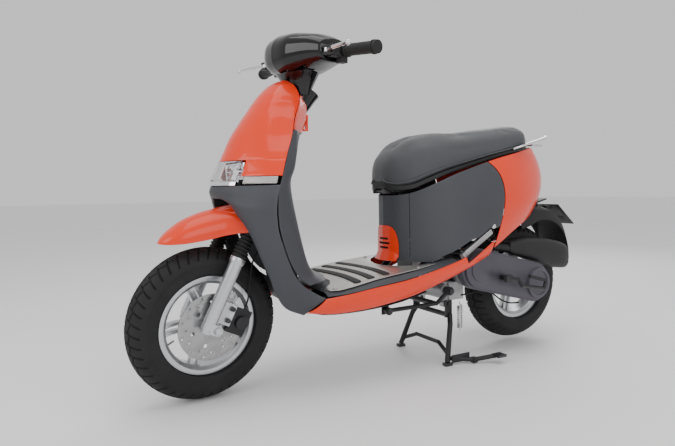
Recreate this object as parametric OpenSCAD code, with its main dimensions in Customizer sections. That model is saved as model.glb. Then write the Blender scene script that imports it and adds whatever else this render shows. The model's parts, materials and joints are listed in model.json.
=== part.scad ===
// Step-through moped scooter with a 10 inch wheel at each end, on its centre stand.
// Millimetres. +X is forward, +Y is the rider's left, +Z is up, the ground is z = 0.
// The origin is on the ground under the middle of the scooter.

/* [Pose] */
// Angle the handlebar is turned to the left, degrees
steer_rest = 8; // [0:1:15]

/* [Chassis] */
// Front axle position along X
front_axle_x = 637; // [630:1:645]
// Rear axle position along X
rear_axle_x = -563; // [-570:1:-555]
// Rear axle height while the centre stand lifts the wheel
rear_axle_z = 231.5; // [225:0.5:240]
// Head angle measured from vertical, degrees
rake = 26.2; // [25:0.1:28]
// Where the steering axis meets the ground, along X
steer_foot_x = 747; // [735:1:755]

/* [Wheels] */
// Outer radius of both tyres
tyre_r = 217; // [212:0.5:218]
// Width of both tyres
tyre_w = 100; // [90:1:100]
// Outer radius of the rim flanges
rim_r = 141.5; // [141:0.5:143]
// Number of spoke pairs in each wheel
spoke_pairs = 5; // [4:1:6]
// Outer radius of the front brake disc
disc_r = 94; // [85:1:95]
// Radius of the front axle
axle_r = 6; // [5:0.5:7]

/* [Fork] */
// Half the distance between the two fork legs
leg_y = 79; // [76:1:82]
// How far the legs stand ahead of the steering axis
leg_offset = 20.4; // [18:0.2:24]
// Radius of the inner fork tubes
tube_r = 13; // [12:0.5:14]
// Radius of the outer fork legs
lower_r = 19; // [18:0.5:21]

/* [Handlebar] */
// Radius of the handlebar tube
bar_r = 11; // [10:0.5:12]
// Half the handlebar length
bar_half = 305; // [295:1:315]
// Radius of the rubber grips
grip_r = 16.5; // [15:0.5:18]

/* [Body panels] */
// Thickness of the plastic panels
skin = 2.6; // [2:0.1:4]
// Thickness of the stainless floor plate
plate_t = 1.5; // [1:0.1:2]

/* [Centre stand] */
// Radius of the stand tubes
stand_r = 9; // [8:0.5:11]
// Half the width between the stand feet
stand_half = 132; // [120:1:140]

/* [Hidden] */
$fn = 48;

orange = [0.86, 0.23, 0.10];
satin_grey = [0.24, 0.25, 0.29];
black = [0.06, 0.06, 0.07];
gloss_black = [0.02, 0.02, 0.03];
silver = [0.72, 0.73, 0.75];
alloy = [0.60, 0.60, 0.61];
zinc = [0.70, 0.74, 0.76];
rubber_black = [0.05, 0.05, 0.05];

// running clearance between a shaft and its hole, on the radius
run = 0.05;
// gap left between neighbouring panels
seam = 1.5;
// swing unit pivot, which is also the rear end of the engine hanger
pivot_x = -170;
pivot_z = 243;
// crankshaft and clutch shaft, seen from the left
crank_x = -258;
crank_z = 316;
clutch_x = -530;
clutch_z = 247;
// centre stand pivot
stand_x = -178;
stand_z = 196;
// rear shock absorber ends, and its distance left of the centre plane
shock_top = [-338, 70, 545];
shock_foot = [-392, 70, 370];
// seat hinge
hinge_x = 38;
hinge_z = 583;
// brake lever pivots in the straight-ahead steering frame
lever_x = 352;
lever_y = 176;
lever_z = 981;
// passenger footpeg pivot
peg_x = -182;
peg_y = 158;
peg_z = 371;
// axle distances along and ahead of the steering axis
axle_s = 243.3;
axle_d = -2.9;

// ---------- helpers ----------

// smooth curve through four neighbouring values
function blend4(a, b, c, d, t) =
  0.5 * (2 * b + (c - a) * t + (2 * a - 5 * b + 4 * c - d) * t * t
  + (3 * b - a - 3 * c + d) * t * t * t);

// value of a table of numbers or points at a fractional row u
function along(T, u) =
  let (n = len(T) - 1, i = max(0, min(floor(u), n - 1)), t = u - i)
  blend4(i > 0 ? T[i - 1] : 2 * T[0] - T[1], T[i], T[i + 1],
    i + 2 <= n ? T[i + 2] : 2 * T[n] - T[n - 1], t);

// row of a table whose first column is a falling or rising height z
function row_at(T, z) =
  let (n = len(T) - 1, dir = T[n][0] > T[0][0] ? 1 : -1,
    k = max([for (i = [0:n - 1]) dir * (z - T[i][0]) >= 0 ? i : 0]))
  k + (z - T[k][0]) / (T[k + 1][0] - T[k][0]);

// quadratic through three points at s = 0, 0.5 and 1
function bow(a, m, b, s) = a * (1 - s) * (1 - 2 * s) + m * 4 * s * (1 - s) + b * s * (2 * s - 1);

function steps(n) = [for (i = [0:n]) i / n];

function mirror_y(p) = [p[0], -p[1], p[2]];

function normal_at(G, r, c) =
  let (R = len(G) - 1, C = len(G[0]) - 1,
    n = cross(G[min(r + 1, R)][c] - G[max(r - 1, 0)][c],
      G[r][min(c + 1, C)] - G[r][max(c - 1, 0)]))
  n / norm(n);

// thin panel: grid G is its outer face, and t its thickness to the inner side
module sheet(G, t = skin) {
  R = len(G);
  C = len(G[0]);
  N = R * C;
  outer = [for (r = [0:R - 1], c = [0:C - 1]) G[r][c]];
  inner = [for (r = [0:R - 1], c = [0:C - 1]) G[r][c] - t * normal_at(G, r, c)];
  quads = [for (r = [0:R - 2], c = [0:C - 2]) r * C + c];
  polyhedron(concat(outer, inner), concat(
    [for (a = quads) [a, a + 1, a + C + 1]],
    [for (a = quads) [a, a + C + 1, a + C]],
    [for (a = quads) [a + N, a + C + 1 + N, a + 1 + N]],
    [for (a = quads) [a + N, a + C + N, a + C + 1 + N]],
    [for (a = [0:C - 2]) [a + 1, a, a + N]],
    [for (a = [0:C - 2]) [a + 1, a + N, a + 1 + N]],
    [for (a = [(R - 1) * C:N - 2]) [a, a + 1, a + 1 + N]],
    [for (a = [(R - 1) * C:N - 2]) [a, a + 1 + N, a + N]],
    [for (a = [0:C:N - 1 - C]) [a, a + C, a + C + N]],
    [for (a = [0:C:N - 1 - C]) [a, a + C + N, a + N]],
    [for (b = [C - 1:C:N - 1 - C]) [b + C, b, b + N]],
    [for (b = [C - 1:C:N - 1 - C]) [b + C, b + N, b + C + N]]));
}

// solid through closed rings, each counter-clockwise about the direction of travel
module loft(G) {
  R = len(G);
  C = len(G[0]);
  N = R * C;
  first = [for (k = [0:2]) [for (p = G[0]) p[k]] * [for (i = [1:C]) 1 / C]];
  last = [for (k = [0:2]) [for (p = G[R - 1]) p[k]] * [for (i = [1:C]) 1 / C]];
  polyhedron(concat([for (r = G) each r], [first, last]), concat(
    [for (r = [0:R - 2], c = [0:C - 1]) [r * C + c, (r + 1) * C + (c + 1) % C, r * C + (c + 1) % C]],
    [for (r = [0:R - 2], c = [0:C - 1]) [r * C + c, (r + 1) * C + c, (r + 1) * C + (c + 1) % C]],
    [for (c = [0:C - 1]) [N, c, (c + 1) % C]],
    [for (c = [0:C - 1]) [N + 1, (R - 1) * C + (c + 1) % C, (R - 1) * C + c]]));
}

// round bar between two points
module bar(a, b, r, facets = 32) {
  d = b - a;
  translate(a)
    rotate([0, acos(d[2] / norm(d)), atan2(d[1], d[0])])
      cylinder(h = norm(d), r = r, $fn = facets);
}

// bent tube through points, with a slightly larger ball at each inner bend
module tube(P, r) {
  for (i = [0:len(P) - 2])
    bar(P[i], P[i + 1], r);
  for (i = [1:len(P) - 2])
    translate(P[i]) sphere(r = r + 0.4, $fn = 32);
}

// cord swept through points, with eight sides
module cord(P, r, rings = 24) {
  n = len(P) - 1;
  path = [for (i = [0:rings]) along(P, i * n / rings)];
  dirs = [for (i = [0:rings]) path[min(i + 1, rings)] - path[max(i - 1, 0)]];
  loft([for (i = [0:rings])
    let (d = dirs[i] / norm(dirs[i]), s = cross(d, [0.31, 0.2, 0.93]), u = s / norm(s), v = cross(d, u))
    [for (k = [0:7]) path[i] + r * (cos(45 * k) * u + sin(45 * k) * v)]]);
}

// cylinder along Y between two Y values
module across(x, z, y0, y1, r) {
  translate([x, min(y0, y1), z])
    rotate([-90, 0, 0]) cylinder(h = abs(y1 - y0), r = r);
}

// hexagon-head bolt along Y, its head facing +Y for side = 1
module bolt_y(x, y, z, r, side = 1) {
  translate([x, y, z])
    rotate([-90 * side, 0, 0]) {
      cylinder(h = r * 1.1, r = r * 1.7, $fn = 6);
      translate([0, 0, -r * 0.2]) cylinder(h = r * 0.5, r = r * 2.1);
    }
}

// turn the straight-ahead steering parts to their resting angle
module steered() {
  translate([steer_foot_x, 0, 0])
    rotate(a = steer_rest, v = [-sin(rake), 0, cos(rake)])
      translate([-steer_foot_x, 0, 0]) children();
}

// local frame with z up the steering axis and x ahead of it
module on_axis() {
  translate([steer_foot_x, 0, 0]) rotate([0, -rake, 0]) children();
}

function fork_point(s, d, y) =
  [steer_foot_x - s * sin(rake) + d * cos(rake), y, s * cos(rake) + d * sin(rake)];

module both_sides() {
  children();
  mirror([0, 1, 0]) children();
}

// ---------- front surface ----------

// height, centre x, crease x, crease y, edge x, edge y
FRONT = [
  [912, 399, 395, 15, 383, 30],
  [895, 430, 415, 44, 372, 58],
  [866, 459, 434, 64, 367, 80],
  [838, 481, 452, 73, 374, 92],
  [792, 513, 479, 80, 398, 115],
  [741, 546, 507, 86, 416, 137],
  [694, 568, 530, 90, 440, 160],
  [640, 593, 550, 95, 462, 179],
  [600, 608, 566, 98, 476, 190],
  [560, 612, 572, 98, 485, 193]];

// point of the front surface at height z, for s from 0 (centre) to 1 (edge)
function front_at(z, s) =
  let (q = along(FRONT, row_at(FRONT, z)), side = s < 0 ? -1 : 1, t = abs(s), k = min(t * 2, 1),
    j = max(t * 2 - 1, 0))
  t <= 0.5
    ? [q[1] - (q[1] - q[2]) * k * k, side * q[3] * k, z]
    : [q[2] + (q[4] - q[2]) * j + 7 * sin(180 * j), side * (q[3] + (q[5] - q[3]) * j + 5 * sin(180 * j)), z];

module front_patch(z0, z1, s0, s1, rows, cols, t = skin, lift = 0) {
  G = [for (i = [0:rows]) [for (j = [0:cols])
    front_at(z1 + (z0 - z1) * i / rows, s0 + (s1 - s0) * j / cols) + [lift, 0, 0]]];
  sheet(G, t);
}

module front_apron() color(orange) {
  front_patch(673, 911, -1, 1, 10, 16);
  both_sides()
    front_patch(629, 674, 0.52, 1, 3, 5);
}

// clear lens in the nose, over its reflector bowl
module headlight_lens() color([0.9, 0.93, 0.96, 0.5]) {
  front_patch(617, 671, -0.485, 0.485, 5, 12, 2.4, 3);
}

module headlight_unit() color(silver) {
  front_patch(604, 615, -0.485, 0.485, 2, 12, 12, 2);
  difference() {
    translate([510, -84, 620]) cube([30, 168, 46]);
    for (y = [-46, 46])
      translate([541, y, 643]) rotate([0, -90, 0]) cylinder(h = 26, r = 20);
  }
  for (y = [-46, 46])
    translate([514, y, 643]) rotate([0, 90, 0]) cylinder(h = 34, r = 6);
}

module turn_signals() color([0.55, 0.52, 0.5]) {
  both_sides()
    front_patch(609, 627, 0.57, 0.96, 2, 5, 5, 0.5);
}

// ---------- leg shield and knee panel ----------

// arch edge, middle and outer edge of the left half of the leg shield
SHIELD = [
  [[607, -1, 602], [569, 96, 602], [475, 189, 604]],
  [[611, -1, 586], [572, 99, 586], [480, 191, 588]],
  [[602, -1, 569], [573, 101, 571], [484, 192, 573]],
  [[592, 36, 567], [566, 117, 561], [486, 192, 558]],
  [[579, 76, 552], [557, 137, 545], [487, 191, 540]],
  [[568, 98, 524], [546, 149, 519], [486, 190, 515]],
  [[550, 127, 487], [530, 164, 483], [481, 188, 480]],
  [[535, 146, 446], [514, 173, 446], [470, 186, 445]],
  [[518, 154, 399], [496, 176, 401], [454, 183, 402]],
  [[497, 154, 352], [474, 174, 353], [431, 180, 354]],
  [[480, 152, 308], [451, 172, 316], [405, 177, 325]],
  [[448, 146, 262], [412, 168, 282], [366, 178, 299]],
  [[394, 147, 236], [370, 172, 262], [343, 186, 286]]];

module leg_shield() color(satin_grey) {
  n = len(SHIELD) - 1;
  G = [for (i = [0:20]) let (q = along(SHIELD, i * n / 20))
    [for (s = steps(8)) bow(q[0], q[1], q[2], s)]];
  both_sides() sheet(G);
}

// height, edge x, edge y, shoulder x, shoulder y, centre x of the rider-side panel
KNEE = [
  [757, 407, 124, 388, 116, 334],
  [735, 415, 134, 394, 126, 341],
  [700, 433, 152, 401, 134, 355],
  [650, 453, 171, 412, 139, 367],
  [615, 467, 183, 427, 143, 373],
  [570, 479, 188, 424, 143, 373],
  [490, 476, 186, 407, 142, 367],
  [410, 450, 179, 385, 138, 350],
  [370, 430, 177, 369, 134, 330],
  [343, 408, 175, 348, 128, 300],
  [324, 380, 173, 310, 122, 258]];

// point of a rider-side panel row, s from 0 (left edge) to 1 (right edge)
function panel_at(q, s) =
  along([[q[1], q[2], q[0]], [q[3], q[4], q[0]], [0.45 * q[3] + 0.55 * q[5], q[4] * 0.55, q[0]],
    [q[5], 0, q[0]], [0.45 * q[3] + 0.55 * q[5], -q[4] * 0.55, q[0]], [q[3], -q[4], q[0]],
    [q[1], -q[2], q[0]]], s * 6);

module rider_sheet(T, z0, z1, rows, cols) {
  G = [for (i = [0:rows]) let (z = z0 + (z1 - z0) * i / rows, q = along(T, row_at(T, z)))
    [for (s = steps(cols)) panel_at(q, 1 - s)]];
  sheet(G);
}

module knee_panel() color(satin_grey) {
  rider_sheet(KNEE, 326, 756, 14, 18);
}

INNER = [
  [864, 362, 76, 330, 46, 298],
  [840, 368, 87, 332, 47, 302],
  [800, 388, 107, 340, 52, 309],
  [757, 404, 121, 358, 60, 326]];

module inner_cover() color(orange) {
  difference() {
    union() {
      rider_sheet(INNER, 758.5, 862, 5, 18);
      both_sides()
        translate([306, 8.2, 805]) cube([15, 4, 13]);
    }
    on_axis() translate([-100, -100, 942]) cube([122, 200, 60]);
    on_axis() translate([0, 0, 926]) cylinder(h = 60, r = 35);
    translate([290, -8.2, 800]) cube([40, 16.4, 24]);
    across(316, 812, -20, 20, 2.55);
  }
}

// folding hook for a shopping bag under the handlebar
module bag_hook() color(orange) {
  across(316, 812, -11.5, 11.5, 2.5);
  translate([306, -7, 808]) cube([10, 14, 8]);
  translate([304, -7, 774]) cube([5, 14, 42]);
  translate([304, -7, 769]) cube([14, 14, 6]);
}

// ---------- floor ----------

// x, floor height, half width, edge height
FLOOR = [
  [330, 298, 176, 288],
  [270, 306, 192, 293],
  [180, 322, 195, 304],
  [71, 335, 195, 316],
  [-16, 344, 194, 332],
  [-90, 353, 192, 348],
  [-145, 364, 190, 361]];

function floor_row(x) = along(FLOOR, row_at(FLOOR, x));

function floor_z(x) = floor_row(x)[1];

module floor_panel() color(satin_grey) {
  G = [for (i = [0:9]) let (x = 330 - 52 * i, q = floor_row(x))
    [for (y = [-1, -0.94, -0.84, -0.5, 0, 0.5, 0.84, 0.94, 1])
      [x, y * (q[2] - seam), abs(y) == 1 ? q[3] : abs(y) > 0.9 ? q[1] - 5 : q[1]]]];
  difference() {
    sheet([for (r = G) [for (j = [0:8]) r[8 - j]]], 3);
    translate([-200, -126, 300]) cube([266, 252, 120]);
  }
}

// outline of the floor plate, left half, from the front centre backwards
PLATE = [[252, 0], [256, 46], [276, 84], [300, 108], [318, 130], [316, 160], [296, 176],
  [254, 181], [193, 181], [89, 180], [15, 176], [-62, 164], [-34, 146], [8, 112], [34, 70],
  [46, 30], [48, 0]];

module floor_plate() color(silver) {
  G = [for (i = [0:8]) let (x = 330 - 52 * i)
    [for (y = [200, 0, -200]) [x, y, floor_z(x) + 0.3 + plate_t]]];
  difference() {
    intersection() {
      sheet(G, plate_t);
      translate([0, 0, 280])
        linear_extrude(100)
          polygon(concat(PLATE, [for (i = [len(PLATE) - 1:-1:0]) [PLATE[i][0], -PLATE[i][1]]]));
    }
    for (i = [0:2])
      strip_slot(i, 4, 1);
  }
}

STRIP_X = [205, 157, 103];

// one curved strip of the tread, an arc with round ends
module strip_slot(i, h, grow) {
  x = STRIP_X[i];
  slope = atan2(floor_z(x + 30) - floor_z(x - 30), 60);
  translate([x, 0, floor_z(x) + (grow > 0 ? -4 : 0.7)])
    rotate([0, -slope, 0])
      linear_extrude(grow > 0 ? 10 : h) {
        intersection() {
          difference() {
            translate([790, 0]) circle(r = 801 + grow);
            translate([790, 0]) circle(r = 779 - grow);
          }
          translate([-30, -150]) square([80, 300]);
        }
        for (y = [-150, 150])
          translate([14.4, y]) circle(r = 11.2 + grow);
      }
}

module floor_strips() color(rubber_black) {
  for (i = [0:2])
    strip_slot(i, 2.7, 0);
}

// dome screws of the floor plate and the plugs of the side skirts
module panel_screws() color(zinc) {
  for (p = [[296, 152], [2, 158]])
    both_sides()
      translate([p[0], p[1], floor_z(p[0]) + plate_t + 1])
        rotate([0, -atan2(floor_z(p[0] + 20) - floor_z(p[0] - 20), 40), 0]) cylinder(h = 2.2, r = 6);
}

// ---------- side skirts ----------

// upper edge and lower edge of the left skirt
SKIRT = [
  [[341, 186, 284], [390, 159, 243]],
  [[271, 194, 291], [307, 165, 233]],
  [[182, 197, 302], [200, 168, 235]],
  [[71, 197, 314], [100, 168, 246]],
  [[-16, 196, 330], [10, 168, 262]],
  [[-140, 193, 359], [-110, 168, 296]],
  [[-226, 189, 392], [-205, 173, 331]],
  [[-300, 184, 431], [-280, 175, 364]]];

module skirt() {
  n = len(SKIRT) - 1;
  G = [for (i = [0:18]) let (q = along(SKIRT, i * n / 18), m = (q[0] + q[1]) / 2 + [0, 7, -3])
    [for (s = steps(5)) bow(q[1], m, q[0], s)]];
  sheet(G);
}

module side_skirts() color(orange) both_sides()
  difference() {
    skirt();
    peg_recess();
  }

// black liner behind the front wheel and under the floor
LINER = [
  [433, 128, 446], [424, 128, 424], [412, 127, 386], [402, 126, 350],
  [392, 124, 295], [376, 128, 248], [330, 140, 231], [250, 148, 228], [160, 150, 231],
  [60, 150, 241], [-40, 148, 262]];

module under_liner() color(black) {
  n = len(LINER) - 1;
  G = [for (i = [0:20]) let (q = along(LINER, i * n / 20))
    [for (s = [-1, -0.6, 0, 0.6, 1]) [q[0], -s * q[1], q[2]]]];
  difference() {
    sheet(G);
    both_sides()
      translate([62, 80, 180]) cube([34, 14, 90]);
  }
}

// ---------- body under the seat ----------

// lower line, belly line and upper line of the left half, front centre to tail centre
BODY = [
  [[26, 0, 345], [24, 0, 460], [26, 0, 572]],
  [[12, 45, 345], [11, 45, 460], [12, 46, 572]],
  [[-14, 84, 345], [-16, 82, 465], [-15, 80, 577]],
  [[-56, 122, 345], [-52, 114, 472], [-50, 107, 590]],
  [[-102, 152, 350], [-100, 141, 488], [-98, 131, 613]],
  [[-160, 170, 343], [-160, 163, 510], [-160, 149, 640]],
  [[-250, 170, 355], [-250, 175, 540], [-250, 154, 668]],
  [[-330, 160, 388], [-335, 176, 565], [-340, 151, 692]],
  [[-410, 148, 430], [-430, 162, 582], [-430, 139, 712]],
  [[-490, 128, 464], [-520, 138, 598], [-505, 116, 728]],
  [[-555, 98, 488], [-600, 104, 612], [-565, 88, 738]],
  [[-600, 60, 505], [-655, 60, 618], [-598, 52, 742]],
  [[-615, 0, 510], [-680, 0, 622], [-612, 0, 744]]];

function body_at(u, v) =
  let (q = along(BODY, abs(u)), p = bow(q[0], q[1], q[2], v))
  u < 0 ? mirror_y(p) : p;

// seam between side cover and tail cowl
function seam_u(v) = bow([6.72], [7.16], [6.4], v)[0];

// lower edge of the side covers
function cover_v(u) = u < 3.5 ? 0.03 : min(0.19, 0.03 + (u - 3.5) * 0.08);

module cover_half() {
  G = [for (i = [0:14]) [for (j = [0:10])
    let (v = 1 - j / 10, end = seam_u(0.19 + 0.795 * v), u = 2.14 + (end - 2.16) * i / 14,
      w0 = cover_v(u))
    body_at(u, w0 + (0.985 - w0) * v)]];
  difference() {
    sheet(G);
    peg_recess();
  }
}

module peg_frame() {
  translate([peg_x, peg_y, peg_z]) rotate([0, 31, 0]) children();
}

// slanting pocket for the folded passenger footpeg
module peg_recess() {
  peg_frame() translate([-158, -22, -21]) cube([174, 70, 42]);
}

module side_cover_left() color(satin_grey) cover_half();

module side_cover_right() color(satin_grey) mirror([0, 1, 0]) cover_half();

module cooling_slots() {
  for (p = [[425, 24], [410, 30], [395, 24]])
    translate([0, -p[1], p[0] - 3.5]) cube([60, 2 * p[1], 7]);
}

module column_cover() color(satin_grey) {
  G = [for (i = [0:12]) [for (j = [0:9])
    body_at(-2.1 + 4.2 * i / 12, 0.985 - 0.945 * j / 9)]];
  difference() {
    sheet(G);
    cooling_slots();
  }
}

// orange tongue on the column, with cooling slots
module vent_panel() color(orange) {
  G = [for (i = [0:12]) let (k = -1 + i / 6) [for (j = [0:7])
    let (v = (0.04 + 0.5 * sqrt(1 - 0.8 * k * k * k * k)) * (1 - j / 7) + 0.035 * j / 7,
      p = body_at(k * 1.35, v))
    p + [3.4 + (j > 5 ? (j - 5) * 6 : 0), k * 2.5, 0]]];
  difference() {
    sheet(G, 2.4);
    cooling_slots();
  }
}

module tail_cowl() color(orange) {
  G = [for (i = [0:24]) let (k = -1 + i / 12, side = k < 0 ? -1 : 1) [for (j = [0:10])
    let (v = 0.02 + 0.965 * (1 - j / 10), u = 12 - (11.97 - seam_u(v)) * abs(k))
    body_at(k < 0 ? -u : u, v)]];
  difference() {
    sheet([for (i = [24:-1:0]) G[i]]);
    peg_recess();
    mirror([0, 1, 0]) peg_recess();
    translate([-700, -62, 636]) cube([84, 124, 62]);
  }
}

module tail_light() color([0.7, 0.05, 0.04]) {
  G = [for (i = [0:10]) let (k = -1 + i / 5) [for (j = [0:4])
    body_at((k < 0 ? -1 : 1) * (12 - 1 * abs(k)), 0.585 + 0.235 * (1 - j / 4))
    + [0, -k * 2, 0]]];
  intersection() {
    sheet([for (i = [10:-1:0]) G[i]], 3);
    translate([-700, -60, 638]) cube([80, 120, 58]);
  }
}

// silver passenger grab handles on a black base
module grab_rail() color(silver) {
  wing = [[-420, 146, 724], [-470, 150, 739], [-540, 140, 755], [-600, 118, 768],
    [-655, 84, 779], [-690, 52, 787]];
  both_sides()
    loft([for (i = [0:14]) let (p = along(wing, i * 5 / 14), k = i / 14,
        w = 4 + 11 * sin(180 * k) + 3 * k, h = 3.5 + 2.5 * sin(180 * k))
      [for (a = [0:-45:-315]) p + [0.35 * w * cos(a), w * cos(a), h * sin(a)]]]);
  for (y = [-58, 58])
    bar([-652, y * 1.3, 776], [-618, y, 751], 6);
  translate([-656, -70, 746]) cube([56, 140, 6]);
}

// ---------- rear mudguard ----------

GUARD = [
  [-560, 488, 62], [-600, 501, 66], [-640, 520, 70], [-690, 519, 74], [-735, 494, 76],
  [-768, 452, 76], [-786, 404, 74], [-792, 366, 70]];

module rear_mudguard() color(black) {
  n = len(GUARD) - 1;
  G = [for (i = [0:16]) let (q = along(GUARD, i * n / 16))
    [for (a = [-90:22.5:90])
      [q[0] - 26 * (cos(a) - 1) * (q[0] + 563) / 260, q[2] * sin(a) * 0.98,
        q[1] + 30 * (cos(a) - 1) - (abs(a) > 80 ? 26 : 0)]]];
  sheet([for (i = [16:-1:0]) G[i]], 3);
  difference() {
    translate([-759, 0, 520]) rotate([0, -40, 0]) translate([-122, -60, 0]) cube([123, 120, 3]);
    for (y = [-35, 35])
      translate([-759, 0, 520]) rotate([0, -40, 0]) translate([-70, y, -5]) cylinder(h = 20, r = 3);
  }
  translate([-762, -30, 505]) cube([34, 60, 14]);
  translate([-728, -32, 542]) rotate([0, 14, 0]) cube([62, 64, 5]);
  translate([-690, -20, 516]) cube([14, 40, 30]);
}

// ---------- storage bucket ----------

module storage_bucket() color(black) {
  difference() {
    translate([-300, -88, 420]) cube([236, 176, 166]);
    translate([-295, -83, 425]) cube([226, 166, 170]);
  }
  difference() {
    translate([-560, -62, 684]) rotate([0, 14, 0]) cube([200, 124, 4]);
    translate([-450, 0, 600]) cylinder(h = 140, r = 26);
  }
}

// ---------- frame ----------

module frame_front() color(black) {
  on_axis()
    difference() {
      translate([0, 0, 644]) cylinder(h = 150, r = 25);
      translate([0, 0, 600]) cylinder(h = 300, r = 16 + run);
    }
  on_axis() translate([-52, -7, 655]) cube([33, 14, 46]);
  tube([[404, 0, 600], [396, 0, 440], [354, 0, 296], [322, 0, 258], [248, 0, 267]], 15);
  bar([246, -88, 268], [246, 88, 268], 17);
  both_sides()
    tube([[246, 86, 268], [120, 98, 268], [40, 100, 290]], 12.7);
  for (x = [180, 90])
    bar([x, -92, 270], [x, 92, 270], 9);
  both_sides()
    difference() {
      translate([66, 84, 190]) cube([26, 5, 74]);
      across(79, 204, 80, 100, 6);
    }
}

module frame_rear() color(black) {
  both_sides()
    tube([[38, 100, 291], [-34, 98, 311], [-84, 97, 356], [-120, 104, 440], [-330, 112, 560],
      [-540, 80, 690]], 12);
  bar([-102, -98, 399], [-102, 98, 399], 9);
  bar([-314, -106, 555], [-314, 106, 555], 9);
  both_sides() {
    translate([peg_x - 2, 104, 346]) cube([14, 6, 130]);
    difference() {
      union() {
        peg_frame() translate([-8, -52, 9.4]) cube([20, 62, 5]);
        peg_frame() translate([-8, -52, -14.4]) cube([20, 62, 5]);
      }
      peg_frame() translate([0, 0, -20]) cylinder(h = 40, r = 4);
    }
  }
  difference() {
    translate([-352, 99, 528]) cube([28, 6, 40]);
    across(shock_top[0], shock_top[2], 90, 120, 5.05);
  }
  both_sides()
    tube([[-102, 76, 399], [-50, 60, 407], [-44, 24, 578]], 7);
  translate([-58, -29.4, 577]) cube([85, 58.8, 4]);
  both_sides()
    difference() {
      translate([20, 24.4, 575]) cube([28, 5, 15]);
      across(hinge_x, hinge_z, 20, 40, 4);
    }
  across(hinge_x, hinge_z, -29.4, 29.4, 4);
}

// engine hanger between the frame and the swing unit, with the pivot pin
module engine_hanger() color(black) {
  both_sides() {
    tube([[79, 101, 204], [-118, 101, 206], [pivot_x, 101, pivot_z]], 7);
    across(79, 204, 93, 109, 11);
    across(pivot_x, pivot_z, 92, 110, 15);
    across(79, 204, 83, 95, 6);
    bolt_y(79, 110.5, 204, 6);
    bolt_y(pivot_x, 111.5, pivot_z, 6);
  }
  bar([-112, -96, 206], [-112, 96, 206], 9);
  across(pivot_x, pivot_z, -100, 100, 6);
}

// ---------- seat ----------

// x, underside, top, half width
SEAT = [
  [49, 628, 645, 22],
  [44, 604, 668, 43],
  [34, 594, 688, 62],
  [20, 590, 705, 83],
  [-2, 592, 722, 105],
  [-25, 597, 743, 118],
  [-55, 610, 758, 129],
  [-127, 637, 773, 142],
  [-215, 662, 777, 148],
  [-307, 687, 789, 150],
  [-404, 710, 802, 146],
  [-470, 724, 810, 141],
  [-505, 730, 812, 130],
  [-535, 736, 809, 101],
  [-562, 742, 806, 78],
  [-582, 749, 799, 56],
  [-592, 757, 788, 36],
  [-596, 764, 777, 18]];

function seat_ring(x0, z0, z1, w) =
  [for (i = [0:19]) let (a = 18 * i + 9, c = cos(a), s = sin(a), e = s > 0 ? 0.72 : 0.42)
    [x0, w * sign(c) * pow(abs(c), 0.62) * (s < 0 ? 0.99 : 1),
      z0 + (z1 - z0) * (s > 0 ? 0.34 + 0.66 * pow(s, e) : 0.34 * (1 - pow(-s, e)))]];

module seat() color(satin_grey) {
  n = len(SEAT) - 1;
  loft([for (i = [n:-1:0]) let (q = SEAT[i])
    [for (p = seat_ring(q[0], q[1], q[2], q[3])) [p[0], p[1], p[2]]]]);
  difference() {
    union() {
      translate([hinge_x - 12, -20, hinge_z]) cube([22, 40, 24]);
      across(hinge_x, hinge_z, -24, 24, 8);
    }
    across(hinge_x, hinge_z, -30, 30, 4.05);
  }
}

// ---------- steering ----------

module steering_stem() color(black) steered() {
  on_axis() {
    translate([0, 0, 606]) cylinder(h = 334, r = 16);
    difference() {
      union() {
        translate([-20, -leg_y - 14, 608]) cube([52, 2 * leg_y + 28, 24]);
        for (y = [-leg_y, leg_y])
          translate([leg_offset, y, 600]) cylinder(h = 40, r = 20);
      }
      for (y = [-leg_y, leg_y])
        translate([leg_offset, y, 560]) cylinder(h = 140, r = tube_r);
    }
    for (y = [-leg_y, leg_y])
      translate([leg_offset, y, 300]) cylinder(h = 346, r = tube_r);
  }
  difference() {
    union() {
      translate([331, 0, 826]) cylinder(h = 150, r = 14.5);
      across(326, 984, -22, 22, 17.5);
    }
    bar_path();
  }
}

BAR = [[288, bar_half, 978.5], [300, 192, 985], [322, 120, 986], [326, 0, 984]];

module bar_path() {
  tube(concat(BAR, [for (i = [2:-1:0]) mirror_y(BAR[i])]), bar_r);
}

module handlebar() color(black) steered() bar_path();

module grip(r_in) {
  d = BAR[0] - BAR[1];
  translate(BAR[1])
    rotate([0, acos(d[2] / norm(d)), atan2(d[1], d[0])])
      difference() {
        union() {
          translate([0, 0, 6]) cylinder(h = 110, r = grip_r);
          translate([0, 0, 6]) cylinder(h = 5, r = grip_r + 3);
          translate([0, 0, 107]) cylinder(h = 5, r = grip_r + 2.5);
          translate([0, 0, 114.5]) cylinder(h = 8, r = grip_r + 1.2);
        }
        translate([0, 0, -2]) cylinder(h = 121, r = r_in);
      }
}

module grip_left() color(rubber_black) steered() grip(bar_r);

module throttle_grip() color(rubber_black) steered() mirror([0, 1, 0]) grip(bar_r + run);

// ring of the headset at distance y, counter-clockwise about +Y
function head_ring(x0, x1, z0, z1, y, off) =
  [for (i = [0:19]) let (a = -18 * i, c = cos(a), s = sin(a))
    [(x0 + x1) / 2 + ((x1 - x0) / 2 - off) * sign(c) * pow(abs(c), 0.8), y,
      (z0 + z1) / 2 + ((z1 - z0) / 2 - off) * sign(s) * pow(abs(s), 0.8)]];

// y, rear x, front x, bottom z, top z
HEAD = [
  [0, 254, 428, 925, 1051],
  [50, 254, 421, 930, 1048],
  [90, 255, 403, 940, 1042],
  [120, 258, 386, 948, 1036],
  [145, 264, 371, 953, 1026],
  [166, 274, 357, 957, 1015]];

// height, rear x, front x, half width of the neck
NECK = [[874, 300, 376, 44], [895, 294, 384, 52], [915, 287, 384, 64], [940, 279, 398, 86]];

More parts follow.
